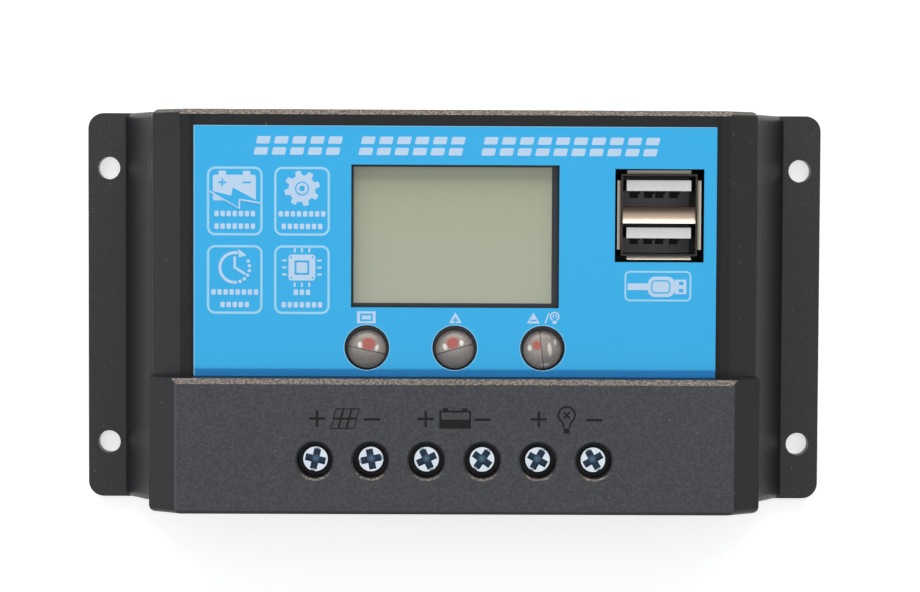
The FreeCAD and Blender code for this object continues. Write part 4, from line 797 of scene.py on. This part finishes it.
past_notch = add_node(tree, "MapRange", {
    "Value": screw_place["Z"], "From Min": (screw_hi.z - notch_depth) * mm,
    "From Max": (screw_hi.z - brim_depth) * mm})
# Painted shade in the cross recess, with a painted highlight at the middle of its floor.
floor_highlight_mask = add_node(tree, "MapRange", {
    "Value": from_axis.outputs["Value"], "From Min": spot_radius * mm, "From Max": spot_core * mm})
recess_floor_shade = add_node(tree, "Mix", {0: floor_highlight_mask.outputs[0], 6: paint("2A3746"), 7: paint("506A80")},
                      data_type="RGBA")
recess_wall_shade = add_node(tree, "Mix", {0: past_floor.outputs[0], 6: recess_floor_shade.outputs[2], 7: paint("9AA9AD")},
                    data_type="RGBA")
head_recess_shaded = add_node(tree, "Mix", {0: past_notch.outputs[0], 6: recess_wall_shade.outputs[2], 7: bright_zinc.tone},
                     data_type="RGBA")
zinc_tone = add_node(tree, "Mix", {0: in_head.outputs[0], 6: bright_zinc.tone, 7: head_recess_shaded.outputs[2]},
                     data_type="RGBA")
tree.links.new(zinc_tone.outputs[2], bright_zinc.body.inputs["Base Color"])
dress(bright_zinc.finish, *(pole + "_screw" for pole in POLES), "power_board_screws",
      "display_board_screws", "mosfet_screws")
# Barrel-plated nickel is warmer and duller than the zinc, and tin is a little paler than it.
cage_steel = surface("nickel_plated_cage", "A8A7A3", "B8B7B3", 2.5, 0.2, 0.004, (0.25, 0.4),
                     Metallic=1.0)
dress(cage_steel.finish, *(pole + "_clamp" for pole in POLES))
tinned = surface("tinned_copper", "B9B6AE", "C8C5BD", 2.0, 0.15, 0.003, (0.25, 0.4), Metallic=1.0)
dress(tinned.finish, "terminal_contacts")

# The marks were left polished in the hood's eroded mould, so they are darker than the grain:
# a plus, a picture and a minus over each pair of screws.
polished_abs = surface("polished_abs_mark", "111113", "161618", 3.0, 0.6, 0.002, (0.3, 0.42),
                       **{"Specular IOR Level": 0.2})
screw_x = [middle_of(pole + "_screw")[0] for pole in POLES]
hood_level = housing_top / mm
marks_row = middle_of("solar_plus_screw")[1] + 7.2
hood_sign, stroke, thin_stroke = 2.75, 0.42, 0.32
bm = bmesh.new()
for pair, (plus_shift, minus_shift) in enumerate(((-4.35, 4.95), (-4.9, 4.75), (-4.7, 4.75))):
    centre = (screw_x[2 * pair] + screw_x[2 * pair + 1]) / 2
    cross(bm, centre + plus_shift, marks_row, hood_sign, stroke)
    bar(bm, centre + minus_shift, marks_row - 0.1, hood_sign, stroke)

# A leaning panel of three by two cells for the solar pair.
panel_x = (screw_x[0] + screw_x[1]) / 2 + 0.4
panel_wide, panel_high, panel_lean, cell_line = 4.1, 3.5, 0.95, 0.17
cells = bmesh.ops.create_grid(bm, x_segments=3, y_segments=2, size=0.5)["verts"]
leaning = Matrix(((panel_wide, panel_lean, 0, 0), (0, panel_high, 0, 0), (0, 0, 1, 0), (0, 0, 0, 1)))
bmesh.ops.transform(bm, matrix=Matrix.Translation((panel_x, marks_row, 0)) @ leaning, verts=cells)
cell_faces = list({face for vert in cells for face in vert.link_faces})
bmesh.ops.inset_individual(bm, faces=cell_faces, thickness=cell_line, use_even_offset=True)
bmesh.ops.delete(bm, geom=cell_faces, context="FACES")

# A half-full battery with two posts for the battery pair.
battery_x = (screw_x[2] + screw_x[3]) / 2 + 0.1
hollow(bm, bar(bm, battery_x, marks_row - 0.1, 5.4, 3.1), 0.34)
bar(bm, battery_x, marks_row - 0.7, 4.72, 1.22)
for side in (-1, 1):
    bar(bm, battery_x + side * 1.6, marks_row + 1.65, 0.9, 0.4)

# A lamp for the load pair: a round bulb with a cross in it, two sides and a foot.
bulb_x, bulb_y = (screw_x[4] + screw_x[5]) / 2 + 0.05, marks_row + 0.75
arc_band(bm, bulb_x, bulb_y, 1.4, thin_stroke, -50, 280)
cross(bm, bulb_x, bulb_y, 1.5, thin_stroke, turn=45)
for side in (-1, 1):
    bar(bm, bulb_x + side * 0.62, marks_row - 0.85, 0.3, 1.3, turn=side * -18)
bar(bm, bulb_x, marks_row - 1.97, 1.0, 0.8)
printed("hood_marks", bm, hood_level, polished_abs.finish, depth=0.02)

# ---------------------------------------------------------------- circuit boards
# Green solder mask over glass epoxy, with tracks under it, gilt pins through a header, and a
# moulded epoxy controller chip on the display board.

# Solder mask is a glossy green lacquer, paler over copper 2 mm long and darker in the gaps.
mask_green = surface("solder_mask_green", "14532F", "1B6138", 3.0, 0.5, 0.01, (0.24, 0.36))
tree = mask_green.tree
copper_long = 2.0
tracks = add_node(tree, "TexBrick", {
    "Vector": mask_green.place, "Scale": 0.5 / (copper_long * mm), "Brick Width": 0.5,
    "Color1": paint("1D6A3D"), "Color2": paint("17592F"), "Mortar": paint("0F4325"),
    "Mortar Size": 0.06})
tree.links.new(tracks.outputs["Color"], mask_green.body.inputs["Base Color"])
dress(mask_green.finish, "power_board", "display_board")
# Moulded epoxy is matt and slightly grey.
epoxy_black = surface("moulded_epoxy_black", "232325", "2A2A2C", 2.5, 0.18, 0.006, (0.5, 0.62))
dress(epoxy_black.finish, "microcontroller", "regulator", "surge_suppressor")

# ---------------------------------------------------------------- power parts
# Aluminium heat sink, four power transistors with tinned legs, sleeved capacitors, a ferrite
# inductor, an orange blade fuse and a copper-alloy shunt.

# Rolled aluminium has fine lines along the sheet, so its patterns are drawn out along X.
mill_aluminium = surface("rolled_aluminium", "C2C4C6", "CFD1D3", 8.0, 0.25, 0.003, (0.3, 0.42),
                         Metallic=1.0)
tree = mill_aluminium.tree
drawn_out = 0.04
rolled = add_node(tree, "Mapping", {
    "Vector": mill_aluminium.place, "Scale": (drawn_out, 1.0, 1.0)})
for link in list(tree.links):
    if link.to_node.bl_idname == "ShaderNodeTexNoise" and link.to_socket.name == "Vector":
        tree.links.new(rolled.outputs[0], link.to_socket)
dress(mill_aluminium.finish, "heat_sink")

# Matt epoxy bodies, with a bare tab at one end and tinned legs at the other.
transistor = surface("epoxy_body_tinned_legs", "222224", "28282A", 2.0, 0.18, 0.006, (0.45, 0.6))
tree = transistor.tree
mosfet_lo, mosfet_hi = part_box("mosfets")
along = add_node(tree, "SeparateXYZ", {0: transistor.place}).outputs["Y"]
tab_long, leg_long = 6.4, 3.4
tab_from, legs_to = mosfet_hi.y - tab_long * mm, mosfet_lo.y + leg_long * mm
is_tab = add_node(tree, "Math", {0: along, 1: tab_from}, operation="GREATER_THAN")
is_leg = add_node(tree, "Math", {0: along, 1: legs_to}, operation="LESS_THAN")
is_metal = add_node(tree, "Math", {0: is_tab.outputs[0], 1: is_leg.outputs[0]}, operation="MAXIMUM")
metal_colour = add_node(tree, "Mix", {0: is_metal.outputs[0], 6: transistor.tone, 7: paint("BDBBB4")},
                        data_type="RGBA")
tree.links.new(metal_colour.outputs[2], transistor.body.inputs["Base Color"])
tree.links.new(is_metal.outputs[0], transistor.body.inputs["Metallic"])
dress(transistor.finish, "mosfets")

# The sleeve is shiny shrunk plastic, and the can's bare aluminium shows at the top.
sleeve = surface("shrink_sleeve_black", "17181C", "1E2024", 5.0, 0.4, 0.004, (0.22, 0.34))
tree = sleeve.tree
can_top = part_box("capacitors")[1].z
can_rise = add_node(tree, "SeparateXYZ", {0: sleeve.place}).outputs["Z"]
is_can = add_node(tree, "Math", {0: can_rise, 1: can_top - 0.1 * mm}, operation="GREATER_THAN")
can_colour = add_node(tree, "Mix", {0: is_can.outputs[0], 6: sleeve.tone, 7: paint("C9CACB")},
                      data_type="RGBA")
tree.links.new(can_colour.outputs[2], sleeve.body.inputs["Base Color"])
tree.links.new(is_can.outputs[0], sleeve.body.inputs["Metallic"])
dress(sleeve.finish, "capacitors")

# Ferrite is a dull grey ceramic. The wire's clear enamel makes the copper a deep red-brown,
# with fine ridges about 0.4 mm apart along it.
ferrite = surface("sintered_ferrite", "3B3B3D", "47474A", 2.0, 0.2, 0.01, (0.5, 0.65))
dress(ferrite.finish, "inductor_core")
enamelled = surface("enamelled_copper_wire", "8E4A22", "A85A2C", 1.5, 0.2, 0.003, (0.25, 0.38),
                    Metallic=1.0)
tree = enamelled.tree
ridge_pitch = 0.12 * math.pi
winding = add_node(tree, "TexWave", {
    "Vector": enamelled.place, "Scale": math.pi / 10 / (ridge_pitch * mm)},
    wave_type="BANDS", bands_direction="Z")
turns = add_node(tree, "Bump", {"Height": winding.outputs["Fac"], "Distance": 0.15 * mm})
tree.links.new(turns.outputs[0], enamelled.body.inputs["Normal"])
dress(enamelled.finish, "inductor_coil")

# The fuse body is see-through orange plastic, and the shunt a warm, even, untreated metal.
fuse_plastic = surface("moulded_polyamide_orange", "D9731C", "E38026", 3.0, 0.3, 0.003, (0.2, 0.32),
                       **{"Transmission Weight": 0.25})
dress(fuse_plastic.finish, "fuse")
shunt_alloy = surface("manganese_copper", "A8876A", "B79578", 2.0, 0.15, 0.003, (0.28, 0.42),
                      Metallic=1.0)
dress(shunt_alloy.finish, "current_shunt")
